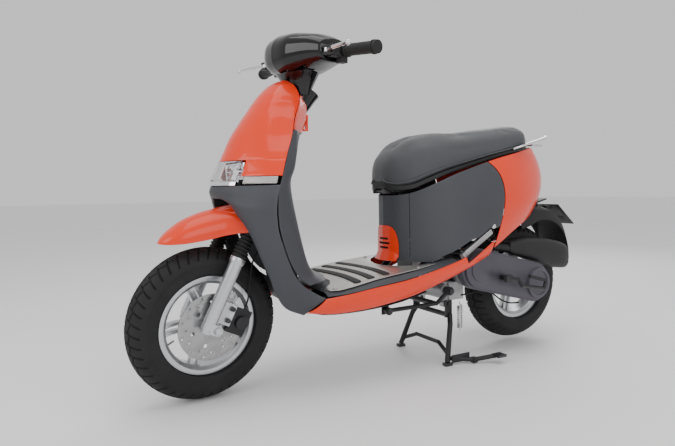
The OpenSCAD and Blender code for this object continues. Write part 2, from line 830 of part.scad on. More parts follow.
module head_solid(off, extra) {
  loft([for (i = [-5:5]) let (q = HEAD[abs(i)])
    head_ring(q[1], q[2], q[3], q[4], sign(i) * (q[0] + (abs(i) == 5 ? extra : 0)), off)]);
}

module neck_solid(off, low) {
  loft([for (k = [0:3]) let (q = NECK[k], z = q[0] - (k == 0 ? low : 0))
    [for (i = [0:19]) let (a = 18 * i)
      [(q[1] + q[2]) / 2 + ((q[2] - q[1]) / 2 - off) * cos(a), (q[3] - off) * sin(a), z]]]);
}

// round lower end of the neck, which turns inside the collar of the apron
module neck_end(off) {
  on_axis()
    rotate_extrude($fn = 64)
      polygon([[0, 932 - off], [31 - off, 932 - off], [39 - off, 970], [45 - off, 990], [0, 990]]);
}

module headset_cover() color(gloss_black) steered() {
  difference() {
    union() {
      head_solid(0, 0);
      neck_solid(0, 0);
      neck_end(0);
    }
    head_solid(3, 4);
    neck_solid(3, 5);
    neck_end(3);
    strip_band(994.6, 1005.4, 110, 3.2, 5.4);
    both_sides()
      translate([326, 126, 956]) cube([80, 60, 52]);
    both_sides()
      translate([240, 158, 940]) cube([140, 40, 90]);
  }
}

// band across the front of the headset between two heights
module strip_band(z0, z1, half, lift, t) {
  G = [for (i = [0:12]) let (y = half * (i / 6 - 1), q = along(HEAD, row_at(HEAD, abs(y))))
    [for (z = [z0, (z0 + z1) / 2, z1])
      let (zz = (z - (q[3] + q[4]) / 2) / ((q[4] - q[3]) / 2))
      [(q[1] + q[2]) / 2 + ((q[2] - q[1]) / 2) * pow(1 - pow(abs(zz), 1.25), 0.4) + lift, y, z]]];
  sheet(G, t);
}

module light_strip() color([0.75, 0.76, 0.95]) steered() strip_band(996, 1004, 108, 1.4, 1.4);

// lever clamps and switch blocks on both sides of the headset
module control_housings() color(black) steered() {
  both_sides() {
    difference() {
      union() {
        bar([309.8, 160, 985.5], [302, 185.5, 985.1], 20);
        translate([308, 164, 966]) cube([34, 24, 34]);
        translate([334, lever_y - 14, lever_z - 12]) cube([26, 28, 6]);
        translate([334, lever_y - 14, lever_z + 6]) cube([26, 28, 6]);
        translate([290, 164, 952]) cube([22, 24, 20]);
      }
      bar_path();
      translate([lever_x, lever_y, lever_z - 20]) cylinder(h = 40, r = 3.05);
      translate([325, 176, 990]) cylinder(h = 40, r = 4);
    }
  }
}

module lever(side) {
  translate([lever_x, lever_y, lever_z]) {
    cylinder(h = 11, r = 9, center = true);
    cylinder(h = 23, r = 3, center = true);
  }
  tube([[lever_x + 1, lever_y, lever_z], [361, 216, 981.6], [363, 262, 982.4], [379.7, 308, 976.3]], 5.2);
  translate([379.7, 308, 976.3]) sphere(r = 7.5);
}

module brake_lever_left() color(silver) steered() lever();

module brake_lever_right() color(silver) steered() mirror([0, 1, 0]) lever();

// x, crown z, half width, lower edge z
FENDER = [
  [765, 454, 8, 451],
  [752, 471, 26, 451],
  [730, 490, 42, 452],
  [696, 512, 53, 455],
  [647, 531, 60, 462],
  [604, 541, 66, 471],
  [570, 547, 84, 478],
  [540, 550, 103, 481],
  [505, 548, 104, 484]];

module front_fender() color(orange) steered() {
  n = len(FENDER) - 1;
  G = [for (i = [0:20]) let (q = along(FENDER, i * n / 20))
    [for (a = [-90:15:90])
      [q[0], q[2] * sin(a), q[3] + (q[1] - q[3]) * pow(cos(a), 0.75)]]];
  difference() {
    sheet([for (r = G) [for (j = [12:-1:0]) r[j]]]);
    on_axis() both_sides() translate([leg_offset, leg_y, 400]) cylinder(h = 300, r = 23.5);
  }
}

// rubber bellows over the upper ends of the fork legs
module fork_boots() color(rubber_black) steered() on_axis() {
  for (y = [-leg_y, leg_y])
    translate([leg_offset, y, 447])
      rotate_extrude($fn = 40)
        difference() {
          union() {
            translate([15, 0]) square([4, 96]);
            for (i = [0:8])
              translate([18.5, 5 + i * 10.5]) circle(r = 3.6, $fn = 16);
          }
          translate([0, -10]) square([14.5, 130]);
        }
}

// brake hose from the headset down to the caliper
module brake_hose() color(rubber_black) steered() {
  cord([fork_point(660, -32, 42), fork_point(605, -34, 58), fork_point(520, -38, 66),
    fork_point(455, -32, 66), fork_point(400, -50, 64), fork_point(350, -72, 56),
    fork_point(321, -76, 52)], 2.6, 30);
}

module fork_lowers() color(silver) steered() on_axis() {
  both_sides() {
    difference() {
      union() {
        translate([leg_offset, leg_y, 238]) cylinder(h = 205, r = lower_r);
        translate([leg_offset, leg_y, 426]) cylinder(h = 8, r1 = lower_r, r2 = 22);
        translate([leg_offset, leg_y, 434]) cylinder(h = 12, r = 22);
        translate([leg_offset, leg_y, 226]) cylinder(h = 13, r = 16.5);
        translate([axle_d - 2, leg_y - 13, axle_s - 14]) cube([24, 32, 28]);
        translate([axle_d, leg_y - 13, axle_s]) rotate([-90, 0, 0]) cylinder(h = 32, r = 14);
      }
      translate([leg_offset, leg_y, 262]) cylinder(h = 200, r = tube_r + run);
      translate([axle_d, leg_y - 40, axle_s]) rotate([-90, 0, 0]) cylinder(h = 80, r = axle_r);
    }
  }
  difference() {
    translate([-44, leg_y - 17, 262]) cube([50, 6, 62]);
    for (s = [276, 310])
      translate([-34, 40, s]) rotate([-90, 0, 0]) cylinder(h = 60, r = 4);
  }
}

module front_axle() color(zinc) steered() on_axis() {
  translate([axle_d, 0, axle_s]) rotate([-90, 0, 0]) {
    translate([0, 0, -104]) cylinder(h = 208, r = axle_r);
    translate([0, 0, 98.2]) cylinder(h = 9, r = 11, $fn = 6);
    translate([0, 0, -107.2]) cylinder(h = 9, r = 11, $fn = 6);
    translate([0, 0, 46]) difference() {
      cylinder(h = 19.5, r = 10);
      translate([0, 0, -1]) cylinder(h = 22, r = axle_r);
    }
    translate([0, 0, -65.5]) difference() {
      cylinder(h = 19.5, r = 10);
      translate([0, 0, -1]) cylinder(h = 22, r = axle_r);
    }
  }
}

module brake_caliper() color(black) steered() on_axis() {
  difference() {
    union() {
      translate([-100, 38, 246]) cube([56, 23.5, 74]);
      translate([-76, 61, 283]) rotate([-90, 0, 0]) cylinder(h = 15, r = 19);
      translate([-44.5, 55, 268]) cube([20, 6.5, 50]);
    }
    translate([-120, 46.5, 200]) cube([130, 7, 200]);
    translate([-35, 40, 276]) rotate([-90, 0, 0]) cylinder(h = 60, r = 4);
    translate([-35, 40, 310]) rotate([-90, 0, 0]) cylinder(h = 60, r = 4);
  }
  for (s = [276, 310])
    translate([-34, 54, s]) rotate([-90, 0, 0]) cylinder(h = 19, r = 3.9);
  for (s = [276, 310])
    translate([-34, 68.3, s]) rotate([-90, 0, 0]) cylinder(h = 6, r = 7, $fn = 6);
}

// ---------- wheels ----------

module tyre_profile() {
  difference() {
    intersection() {
      translate([tyre_r - 52, 0]) circle(r = 52, $fn = 72);
      translate([rim_r + 0.6, -tyre_w / 2]) square([90, tyre_w]);
    }
    translate([tyre_r - 53, 0]) circle(r = 43, $fn = 48);
    translate([120, -19.5]) square([26, 39]);
    for (y = [-14, 14])
      translate([tyre_r - 2.5, y - 2]) square([6, 4]);
  }
  for (y = [-42, 19.5])
    translate([rim_r + 0.6, y]) square([5, 22.5]);
  for (y = [-29.2, 19.5])
    translate([129.2, y]) square([16, 9.7]);
}

module tyre() {
  rotate([90, 0, 0]) rotate_extrude($fn = 96) tyre_profile();
}

module rim(hub_half, bore) {
  difference() {
    union() {
      rotate([90, 0, 0]) rotate_extrude($fn = 96)
        union() {
          polygon([[118, -24], [128.8, -29.8], [128.8, -19], [123, -14], [123, 14], [128.8, 19],
            [128.8, 29.8], [118, 24]]);
          for (s = [-1, 1])
            polygon([[120, s * 24], [128.8, s * 29.8], [140, s * 29.8], [141.5, s * 31.5],
              [140, s * 34], [127, s * 33]]);
        }
      rotate([90, 0, 0]) cylinder(h = 2 * hub_half, r = 30, center = true);
      rotate([90, 0, 0]) cylinder(h = 26, r = 46, center = true);
      for (i = [0:spoke_pairs - 1])
        rotate([0, i * 360 / spoke_pairs, 0])
          for (s = [-11, 11])
            rotate([90, 0, 0]) spoke(s);
    }
    rotate([90, 0, 0]) cylinder(h = 300, r = bore, center = true);
  }
  rotate([0, 24, 0])
    translate([117, 0, 0]) rotate([0, -100, 28]) cylinder(h = 26, r = 3.2);
}

// one slightly curved flat spoke
module spoke(s) {
  translate([0, 0, -11])
    linear_extrude(22)
      intersection() {
        difference() {
          translate([72, s - 140]) circle(r = 146, $fn = 96);
          translate([72, s - 140]) circle(r = 137, $fn = 96);
        }
        translate([38, -60]) square([82, 120]);
      }
}

module front_tyre() color(rubber_black) steered() translate([front_axle_x, 0, tyre_r]) tyre();

module front_rim() color(silver) steered() translate([front_axle_x, 0, tyre_r]) rim(45.5, axle_r + run);

module brake_disc() color(alloy) steered() translate([front_axle_x, 0, tyre_r]) {
  difference() {
    union() {
      across(0, 0, 48, 52, disc_r);
      across(0, 0, 45.6, 48.5, 34);
    }
    across(0, 0, 40, 60, 18);
    for (i = [0:11], k = [0:1])
      rotate([0, i * 30 + k * 15, 0])
        across(72 + k * 13, 0, 40, 60, 3);
    for (i = [0:5])
      rotate([0, i * 60 + 12, 0]) across(54, 0, 40, 60, 6);
  }
  for (i = [0:2])
    rotate([0, i * 120 + 60, 0]) bolt_y(26, 52.2, 0, 3.4);
}

module rear_tyre() color(rubber_black) translate([rear_axle_x, 0, rear_axle_z]) tyre();

module rear_rim() color(silver) translate([rear_axle_x, 0, rear_axle_z]) rim(42, 8 + run);

// ---------- swing unit ----------

// drive case outline of radius r round both shafts, between two Y values
module stadium(r, y0, y1) {
  lean = atan2(clutch_z - crank_z, clutch_x - crank_x);
  translate([0, y1, 0])
    rotate([90, 0, 0])
      linear_extrude(y1 - y0)
        polygon(concat(
          [for (a = [lean + 90:9:lean + 270]) [crank_x + r * cos(a), crank_z + r * sin(a)]],
          [for (a = [lean - 90:9:lean + 90]) [clutch_x + r * cos(a), clutch_z + r * sin(a)]]));
}

module engine_case() color(alloy) {
  difference() {
    union() {
      stadium(64, 72, 119.5);
      across(crank_x, crank_z, -70, 74, 58);
      translate([-190, -52, 282]) cube([86, 104, 84]);
      for (i = [0:5])
        translate([-176 + i * 13, -60, 274]) cube([5, 120, 98]);
      translate([-104, -44, 288]) cube([44, 88, 70]);
      across(pivot_x, pivot_z, -84, 84, 18);
      translate([-250, -84, 206]) cube([66, 168, 62]);
      translate([-204, -76, 240]) cube([32, 152, 30]);
      across(rear_axle_x, rear_axle_z, 62, 100, 40);
      translate([-282, -34, 350]) cube([52, 60, 40]);
      across(stand_x, stand_z, 56, 82, 15);
      across(stand_x, stand_z, -82, -56, 15);
      translate([-202, 58, 200]) cube([36, 22, 40]);
      translate([-202, -80, 200]) cube([36, 22, 40]);
    }
    across(stand_x, stand_z, -120, 120, 6.05);
    across(pivot_x, pivot_z, -120, 120, 6.05);
    across(rear_axle_x, rear_axle_z, 40, 61, 60);
  }
  across(rear_axle_x, rear_axle_z, -70, 96, 8);
  translate([rear_axle_x, -62, rear_axle_z]) rotate([90, 0, 0]) cylinder(h = 12, r = 14, $fn = 6);
  across(crank_x, crank_z, -108, -69, 62);
  across(shock_foot[0], shock_foot[2], 58, 96, 6);
  translate([shock_foot[0] - 13, 86, shock_foot[2] - 70]) cube([26, 10, 78]);
}

module cvt_cover() color([0.16, 0.15, 0.2]) {
  difference() {
    union() {
      stadium(70, 120.5, 150);
      stadium(62, 149, 161);
      across(clutch_x, clutch_z, 150, 171, 54);
      across(crank_x, crank_z, 150, 165, 40);
    }
    stadium(64, 110, 146);
    across(clutch_x, clutch_z, 167, 180, 44);
    across(-352, 282, 140, 170, 9.05);
  }
}

// folded kick-start lever on its shaft
module kick_lever() color(black) {
  across(-352, 282, 147, 196, 9);
  translate([-366, 186, 270]) cube([26, 14, 24]);
  tube([[-360, 194, 282], [-398, 196, 276], [-412, 198, 252], [-520, 200, 232]], 6.5);
  tube([[-520, 200, 232], [-526, 202, 262], [-440, 206, 284]], 6);
}

AIRBOX = [
  [-420, 396, 362, 104, 138], [-446, 402, 350, 84, 142], [-520, 406, 330, 60, 150],
  [-600, 402, 304, 60, 152], [-660, 392, 288, 60, 152], [-710, 376, 282, 64, 148],
  [-728, 352, 296, 72, 138]];

module airbox() color(black) {
  loft([for (i = [0:12]) let (q = along(AIRBOX, i * 6 / 12), y = (q[3] + q[4]) / 2, w = (q[4] - q[3]) / 2,
      z = (q[1] + q[2]) / 2, h = (q[1] - q[2]) / 2)
    [for (a = [0:22.5:337.5])
      [q[0], y - w * sign(cos(a)) * pow(abs(cos(a)), 0.55), z + h * sign(sin(a)) * pow(abs(sin(a)), 0.55)]]]);
  tube([[-428, 122, 374], [-350, 124, 386], [-320, 44, 388], [-292, 8, 384]], 14);
}

module exhaust() color(black) {
  tube([[-82, -20, 287.6], [-82, -20, 264], [-96, -132, 240], [-190, -138, 232],
    [-330, -138, 236]], 12);
  translate([-390, -140, 264])
    rotate([0, -82, 0]) rotate([1.6, 0, 0]) {
      translate([0, 0, -30]) cylinder(h = 42, r1 = 18, r2 = 50);
      translate([0, 0, 8]) cylinder(h = 314, r = 52);
      translate([0, 0, 318]) cylinder(h = 14, r1 = 50, r2 = 42);
      translate([0, 0, 326]) cylinder(h = 36, r = 13);
    }
  bar([-326, -138, 236], [-376, -139, 257], 13.4);
  translate([-560, -98, 262]) cube([52, 8, 40]);
}

module rear_brake_cable() color(rubber_black) {
  cord([[-214, 112, 226], [-300, 116, 232], [-352, 110, 222], [-404, 106, 190], [-450, 104, 172],
    [-498, 104, 168]], 3, 20);
}

// ---------- rear shock ----------

module on_shock() {
  d = shock_top - shock_foot;
  translate(shock_foot) rotate([0, atan2(d[0], d[2]), 0]) children();
}

shock_len = norm(shock_top - shock_foot);

module shock_upper() color(black) {
  on_shock() difference() {
    union() {
      translate([0, 0, shock_len]) rotate([90, 0, 0]) cylinder(h = 22, r = 13, center = true);
      translate([0, 0, 84]) cylinder(h = shock_len - 94, r = 14);
      translate([0, 0, shock_len - 22]) cylinder(h = 6, r = 27);
    }
    translate([0, 0, shock_len]) rotate([90, 0, 0]) cylinder(h = 40, r = 5.05, center = true);
    translate([0, 0, 70]) cylinder(h = 100, r = 6.05);
  }
  across(shock_top[0], shock_top[2], 76, 108, 5);
}

module shock_lower() color(silver) {
  on_shock() difference() {
    union() {
      translate([0, 0, 0]) rotate([90, 0, 0]) cylinder(h = 18, r = 15, center = true);
      translate([0, 0, 12]) cylinder(h = 130, r = 6);
      translate([0, 0, 16]) cylinder(h = 6, r = 27);
    }
    translate([0, 0, 0]) rotate([90, 0, 0]) cylinder(h = 40, r = 9.6, center = true);
  }
}

// coil of round wire as a stack of rings
module coil(r, wire, h, n) {
  for (i = [0:n - 1])
    translate([0, 0, i * h / (n - 1)])
      rotate_extrude($fn = 40) translate([r, 0]) circle(r = wire, $fn = 12);
}

module shock_spring() color(black) on_shock()
  translate([0, 0, 26.5]) coil(22.5, 3.6, shock_len - 53, 11);

// ---------- centre stand ----------

module centre_stand() color(black) {
  difference() {
    union() {
      both_sides() {
        tube([[-182, 92, 156], [-172, 106, 130], [-138, stand_half, 12]], stand_r);
        translate([-182, 92, 156]) sphere(r = stand_r + 0.6, $fn = 32);
        translate([-192, 86, 150]) cube([28, 6, 58]);
        translate([-152, stand_half - 9, 0]) cube([28, 20, 10]);
      }
      bar([-182, -93, 156], [-182, 93, 156], stand_r);
      tube([[-148, -124, 34], [-158, -62, 60], [-158, 62, 60], [-148, 124, 34]], 7);
      bar([-148, stand_half - 2, 22], [-230, 160, 13], 7.5);
      bar([-230, 160, 13], [-300, 196, 26], 7.5);
      translate([-238, 151, 4]) cube([17, 18, 17.5]);
      translate([-320, 186, 24]) cube([36, 34, 8]);
      translate([-222, 142, 10]) cube([74, 5, 26]);
    }
    across(stand_x, stand_z, 85, 95, 6.05);
    across(stand_x, stand_z, -95, -85, 6.05);
  }
  across(stand_x, stand_z, 60, 96, 6);
  across(stand_x, stand_z, -96, -60, 6);
}

module stand_spring() color(zinc) {
  translate([-212, 108, 112]) coil(8, 1.8, 78, 16);
  bar([-212, 108, 100], [-212, 108, 112], 1.8);
  bar([-212, 108, 190], [-212, 108, 204], 1.8);
}

// ---------- passenger footpegs ----------

module peg() {
  peg_frame() {
    difference() {
      union() {
        translate([0, 0, -9]) cylinder(h = 18, r = 11);
        translate([-138, -8, -9]) cube([134, 16, 18]);
        translate([-138, 0, -9]) cylinder(h = 18, r = 8);
      }
      for (i = [0:6])
        translate([-128 + i * 17, -20, -4]) cube([9, 24, 8]);
    }
    translate([0, 0, -16]) cylinder(h = 32, r = 4 - run);
  }
}

module footpeg_left() color(silver) peg();

module footpeg_right() color(silver) mirror([0, 1, 0]) peg();

frame_front();
frame_rear();
engine_hanger();
front_apron();
headlight_unit();
headlight_lens();
turn_signals();
leg_shield();
knee_panel();
inner_cover();
under_liner();
floor_panel();
floor_plate();
floor_strips();
panel_screws();
side_skirts();
side_cover_left();
side_cover_right();
column_cover();
vent_panel();
tail_cowl();
tail_light();
grab_rail();
rear_mudguard();
storage_bucket();
bag_hook();
steering_stem();
handlebar();
headset_cover();
light_strip();
control_housings();
grip_left();
front_fender();
fork_boots();
brake_hose();
fork_lowers();
front_axle();
brake_caliper();
front_tyre();
front_rim();
brake_disc();
throttle_grip();
brake_lever_left();
brake_lever_right();
engine_case();
cvt_cover();
airbox();
exhaust();
rear_brake_cable();
rear_tyre();
rear_rim();
kick_lever();
shock_upper();
shock_lower();
shock_spring();
centre_stand();
stand_spring();
footpeg_left();
footpeg_right();
seat();
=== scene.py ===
import json
import math

import bmesh
import bpy
import numpy as np
from mathutils import Matrix, Vector

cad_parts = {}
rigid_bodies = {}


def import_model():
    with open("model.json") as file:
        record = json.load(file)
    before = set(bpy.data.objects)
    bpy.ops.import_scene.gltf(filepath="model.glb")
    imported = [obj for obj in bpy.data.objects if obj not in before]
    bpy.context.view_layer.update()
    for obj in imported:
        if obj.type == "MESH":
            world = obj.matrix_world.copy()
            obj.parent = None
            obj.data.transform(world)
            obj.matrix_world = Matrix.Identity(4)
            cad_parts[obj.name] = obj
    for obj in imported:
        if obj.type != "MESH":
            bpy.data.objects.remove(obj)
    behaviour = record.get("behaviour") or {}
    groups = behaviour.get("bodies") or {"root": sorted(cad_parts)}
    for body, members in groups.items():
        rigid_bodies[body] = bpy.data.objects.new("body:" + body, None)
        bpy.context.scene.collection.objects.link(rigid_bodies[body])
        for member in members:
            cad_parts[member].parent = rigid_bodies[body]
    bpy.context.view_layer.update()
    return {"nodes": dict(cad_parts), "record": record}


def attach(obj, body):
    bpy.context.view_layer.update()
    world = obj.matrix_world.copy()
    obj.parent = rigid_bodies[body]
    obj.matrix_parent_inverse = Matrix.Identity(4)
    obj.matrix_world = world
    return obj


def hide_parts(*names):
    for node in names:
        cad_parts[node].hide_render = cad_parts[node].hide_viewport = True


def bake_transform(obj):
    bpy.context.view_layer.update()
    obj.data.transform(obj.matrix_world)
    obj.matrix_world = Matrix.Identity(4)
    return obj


for old in list(bpy.data.objects):
    bpy.data.objects.remove(old)
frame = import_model()
nodes = frame["nodes"]
scene = bpy.context.scene
MM = 0.001

# ---------- sizes shared with the CAD source, in millimetres and degrees ----------

AXIS_FOOT_X = 747      # where the steering axis meets the ground
RAKE = 26.2            # lean of the steering axis
STEER_REST = 8         # the bars are turned this far to the left at rest
SHELL = 2.6            # wall of the body panels
FORK_D, FORK_Y = 20.4, 79    # the fork legs, ahead of the axis and to each side
FRONT_HUB, REAR_HUB = (637, 0, 217), (-563, 0, 231.5)
PEG_TURN = 31          # tilt of the footpeg recess

# ---------- camera ----------

cam_data = bpy.data.cameras.new("camera")
cam = bpy.data.objects.new("camera", cam_data)
scene.collection.objects.link(cam)
yaw, pitch, roll = math.radians(-118.74), math.radians(3.45), math.radians(-0.65)
ahead = Vector((math.cos(pitch) * math.cos(yaw), math.cos(pitch) * math.sin(yaw),
                -math.sin(pitch)))
side = Vector((math.sin(yaw), -math.cos(yaw), 0))
over = side.cross(ahead)
right = side * math.cos(roll) + over * math.sin(roll)
up = over * math.cos(roll) - side * math.sin(roll)
eye = Vector((1.0302, 1.5111, 0.587))
cam.matrix_world = Matrix((
    (right.x, up.x, -ahead.x, eye.x),
    (right.y, up.y, -ahead.y, eye.y),
    (right.z, up.z, -ahead.z, eye.z),
    (0, 0, 0, 1)))
cam_data.sensor_width = 36
cam_data.lens = 28.82
scene.camera = cam

# ---------- curves through tables, as in the CAD source ----------


def along(T, u):
    """Smooth value of a table at fractional row u."""
    T = np.asarray(T, float)
    n = len(T) - 1
    i = max(0, min(int(math.floor(u)), n - 1))
    t = u - i
    a = T[i - 1] if i > 0 else 2 * T[0] - T[1]
    b, c = T[i], T[i + 1]
    d = T[i + 2] if i + 2 <= n else 2 * T[n] - T[n - 1]
    return 0.5 * (2 * b + (c - a) * t + (2 * a - 5 * b + 4 * c - d) * t * t
                  + (3 * b - a - 3 * c + d) * t * t * t)


def row_at(T, z):
    """Fractional row of a table whose first column reaches z."""
    n = len(T) - 1
    first = [r[0] for r in T]
    d = 1 if first[n] > first[0] else -1
    k = max([i if d * (z - first[i]) >= 0 else 0 for i in range(n)])
    return k + (z - first[k]) / (first[k + 1] - first[k])


def bow(a, m, b, s):
    """Parabola through a, m and b, for s from 0 to 1."""
    a, m, b = (np.asarray(v, float) for v in (a, m, b))
    return a * (1 - s) * (1 - 2 * s) + m * 4 * s * (1 - s) + b * s * (2 * s - 1)


def sind(a):
    return math.sin(math.radians(a))


def cosd(a):
    return math.cos(math.radians(a))


AXIS = Vector((-sind(RAKE), 0, cosd(RAKE)))
FOOT = Vector((AXIS_FOOT_X * MM, 0, 0))
STEERED = (Matrix.Translation(FOOT) @ Matrix.Rotation(math.radians(STEER_REST), 4, AXIS)
           @ Matrix.Translation(-FOOT))
ON_AXIS = Matrix.Translation(FOOT) @ Matrix.Rotation(math.radians(-RAKE), 4, "Y")


# ---------- mesh helpers ----------


def finished(name, bm):
    """Turns a bmesh in metres into a linked object, with its normals outward."""
    bmesh.ops.recalc_face_normals(bm, faces=bm.faces)
    mesh = bpy.data.meshes.new(name)
    bm.to_mesh(mesh)
    bm.free()
    o = bpy.data.objects.new(name, mesh)
    scene.collection.objects.link(o)
    return o


def smooth_again(o, angle=40):
    """Smooth shading, with edges kept sharp above an angle. An angle of 0 keeps none."""
    o.data.polygons.foreach_set("use_smooth", [True] * len(o.data.polygons))
    if angle:
        o.data.set_sharp_from_angle(angle=math.radians(angle))


def add_object(name, bm, body, node, material, angle=40):
    """Makes a piece that may ride a body, stand for a CAD node and fill a material slot."""
    o = finished(name, bm)
    smooth_again(o, angle)
    o.data.materials.append(material)
    if body:
        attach(o, body)
    if node:
        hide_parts(node)
    return o


def grid_faces(bm, rows, close_rows=False, close_cols=False):
    """Quads between rows of bmesh vertices."""
    R, C = len(rows), len(rows[0])
    for r in range(R if close_rows else R - 1):
        for c in range(C if close_cols else C - 1):
            here, there = rows[r], rows[(r + 1) % R]
            q = list(dict.fromkeys((here[c], here[(c + 1) % C], there[(c + 1) % C], there[c])))
            if len(q) > 2:
                try:
                    bm.faces.new(q)
                except ValueError:
                    pass


def border(rows):
    """The outer vertices of a grid, in order round it."""
    R, C = len(rows), len(rows[0])
    return (rows[0] + [rows[r][C - 1] for r in range(1, R)]
            + [rows[R - 1][c] for c in range(C - 2, -1, -1)]
            + [rows[r][0] for r in range(R - 2, 0, -1)])


def panel_mesh(bm, G, t, roll_edge=0.9, matrix=None):
    """A thin shell with rounded edges. G is the outer face in millimetres, t the thickness."""
    G = np.asarray(G, float)
    R, C = G.shape[:2]
    du = np.zeros_like(G)
    dv = np.zeros_like(G)
    du[1:-1] = G[2:] - G[:-2]
    du[0], du[-1] = G[1] - G[0], G[-1] - G[-2]
    dv[:, 1:-1] = G[:, 2:] - G[:, :-2]
    dv[:, 0], dv[:, -1] = G[:, 1] - G[:, 0], G[:, -1] - G[:, -2]
    n = np.cross(du, dv)
    n /= np.maximum(np.linalg.norm(n, axis=2, keepdims=True), 1e-9)
    # pull the outer border in a little, so that the edge reads as a moulded radius
    drop = np.zeros((R, C, 1))
    drop[0] = drop[-1] = 1
    drop[:, 0] = drop[:, -1] = 1
    outer = G - n * drop * roll_edge
    inner = G - n * t
    m = matrix or Matrix.Identity(4)

    def put(A):
        return [[bm.verts.new(m @ (Vector(A[r, c]) * MM)) for c in range(C)] for r in range(R)]

    a, b = put(outer), put(inner)
    grid_faces(bm, a)
    grid_faces(bm, [list(r) for r in reversed(b)])
    rim_a, rim_b = border(a), border(b)
    for k in range(len(rim_a)):
        j = (k + 1) % len(rim_a)
        try:
            bm.faces.new([rim_a[k], rim_a[j], rim_b[j], rim_b[k]])
        except ValueError:
            pass


def box_cutter(corner, size, matrix=None):
    """A box to cut with, from its lowest corner and its size in millimetres."""
    bm = bmesh.new()
    bmesh.ops.create_cube(bm, size=1)
    m = matrix or Matrix.Identity(4)
    for v in bm.verts:
        p = Vector([corner[k] + (v.co[k] + 0.5) * size[k] for k in range(3)])
        v.co = m @ (p * MM)
    return finished("cutter", bm)


def rod_cutter(foot, r, h, matrix):
    """An upright rod to cut with, from the middle of its lower end."""
    bm = bmesh.new()
    bmesh.ops.create_cone(bm, cap_ends=True, segments=64, radius1=r * MM, radius2=r * MM,
                          depth=h * MM)
    middle = Vector((foot[0], foot[1], foot[2] + h / 2)) * MM
    bmesh.ops.transform(bm, matrix=matrix @ Matrix.Translation(middle), verts=bm.verts)
    return finished("cutter", bm)


def cut(o, cutters):
    """Takes the cutters out of a piece and removes them."""
    for k in cutters:
        m = o.modifiers.new("cut", "BOOLEAN")
        m.operation = "DIFFERENCE"
        m.solver = "EXACT"
        m.object = k
    bpy.context.view_layer.update()
    dg = bpy.context.evaluated_depsgraph_get()
    new = bpy.data.meshes.new_from_object(o.evaluated_get(dg))
    o.modifiers.clear()
    o.data = new
    for k in cutters:
        bpy.data.objects.remove(k)


def mirrored(G):
    """The grid of the other side, with its outer face still outside."""
    return np.asarray(G)[:, ::-1] * [1, -1, 1]


# ---------- materials ----------


def material(name, base, rough, metal=0.0, coat=0.0, grain=220, grain_bump=0.05, cloud=6,
             spread=0.06, rough_spread=0.08, edge=0.0, edge_colour=None, extra=None, **sockets):
    """Principled material with clouded colour, varying gloss, fine grain and worn edges."""
    m = bpy.data.materials.new(name)
    m.use_nodes = True
    nt = m.node_tree
    N, L = nt.nodes, nt.links
    b = N["Principled BSDF"]
    co = N.new("ShaderNodeTexCoord")
    big = N.new("ShaderNodeTexNoise")
    big.inputs["Scale"].default_value = cloud
    big.inputs["Detail"].default_value = 6
    L.new(co.outputs["Object"], big.inputs["Vector"])
    ramp = N.new("ShaderNodeValToRGB")
    ramp.color_ramp.elements[0].position = 0.3
    ramp.color_ramp.elements[1].position = 0.7
    ramp.color_ramp.elements[0].color = [c * (1 - spread) for c in base] + [1]
    ramp.color_ramp.elements[1].color = [min(1, c * (1 + spread)) for c in base] + [1]
    L.new(big.outputs["Fac"], ramp.inputs["Fac"])
    colour = ramp.outputs["Color"]
    if edge > 0:
        geo = N.new("ShaderNodeNewGeometry")
        er = N.new("ShaderNodeValToRGB")
        er.color_ramp.elements[0].position = 0.52
        er.color_ramp.elements[1].position = 0.62
        L.new(geo.outputs["Pointiness"], er.inputs["Fac"])
        wear = N.new("ShaderNodeMath")
        wear.operation = "MULTIPLY"
        wear.inputs[1].default_value = edge
        L.new(er.outputs["Color"], wear.inputs[0])
        mix = N.new("ShaderNodeMix")
        mix.data_type = "RGBA"
        worn = edge_colour or [min(1, c * 1.8 + 0.05) for c in base]
        mix.inputs["B"].default_value = (*worn, 1)
        L.new(wear.outputs[0], mix.inputs["Factor"])
        L.new(colour, mix.inputs["A"])
        colour = mix.outputs["Result"]
    if extra:
        colour = extra(nt, co, colour)
    L.new(colour, b.inputs["Base Color"])
    rr = N.new("ShaderNodeMapRange")
    rr.inputs["To Min"].default_value = max(0.02, rough - rough_spread)
    rr.inputs["To Max"].default_value = min(1, rough + rough_spread)
    mid = N.new("ShaderNodeTexNoise")
    mid.inputs["Scale"].default_value = cloud * 5
    mid.inputs["Detail"].default_value = 5
    L.new(co.outputs["Object"], mid.inputs["Vector"])
    L.new(mid.outputs["Fac"], rr.inputs["Value"])
    L.new(rr.outputs["Result"], b.inputs["Roughness"])
    fine = N.new("ShaderNodeTexNoise")
    fine.inputs["Scale"].default_value = grain
    fine.inputs["Detail"].default_value = 3
    L.new(co.outputs["Object"], fine.inputs["Vector"])
    bump = N.new("ShaderNodeBump")
    bump.inputs["Strength"].default_value = grain_bump
    bump.inputs["Distance"].default_value = 0.0008
    L.new(fine.outputs["Fac"], bump.inputs["Height"])
    L.new(bump.outputs["Normal"], b.inputs["Normal"])
    b.inputs["Metallic"].default_value = metal
    b.inputs["Coat Weight"].default_value = coat
    b.inputs["Coat Roughness"].default_value = 0.04
    for k, v in sockets.items():
        b.inputs[k.replace("_", " ")].default_value = v
    return m


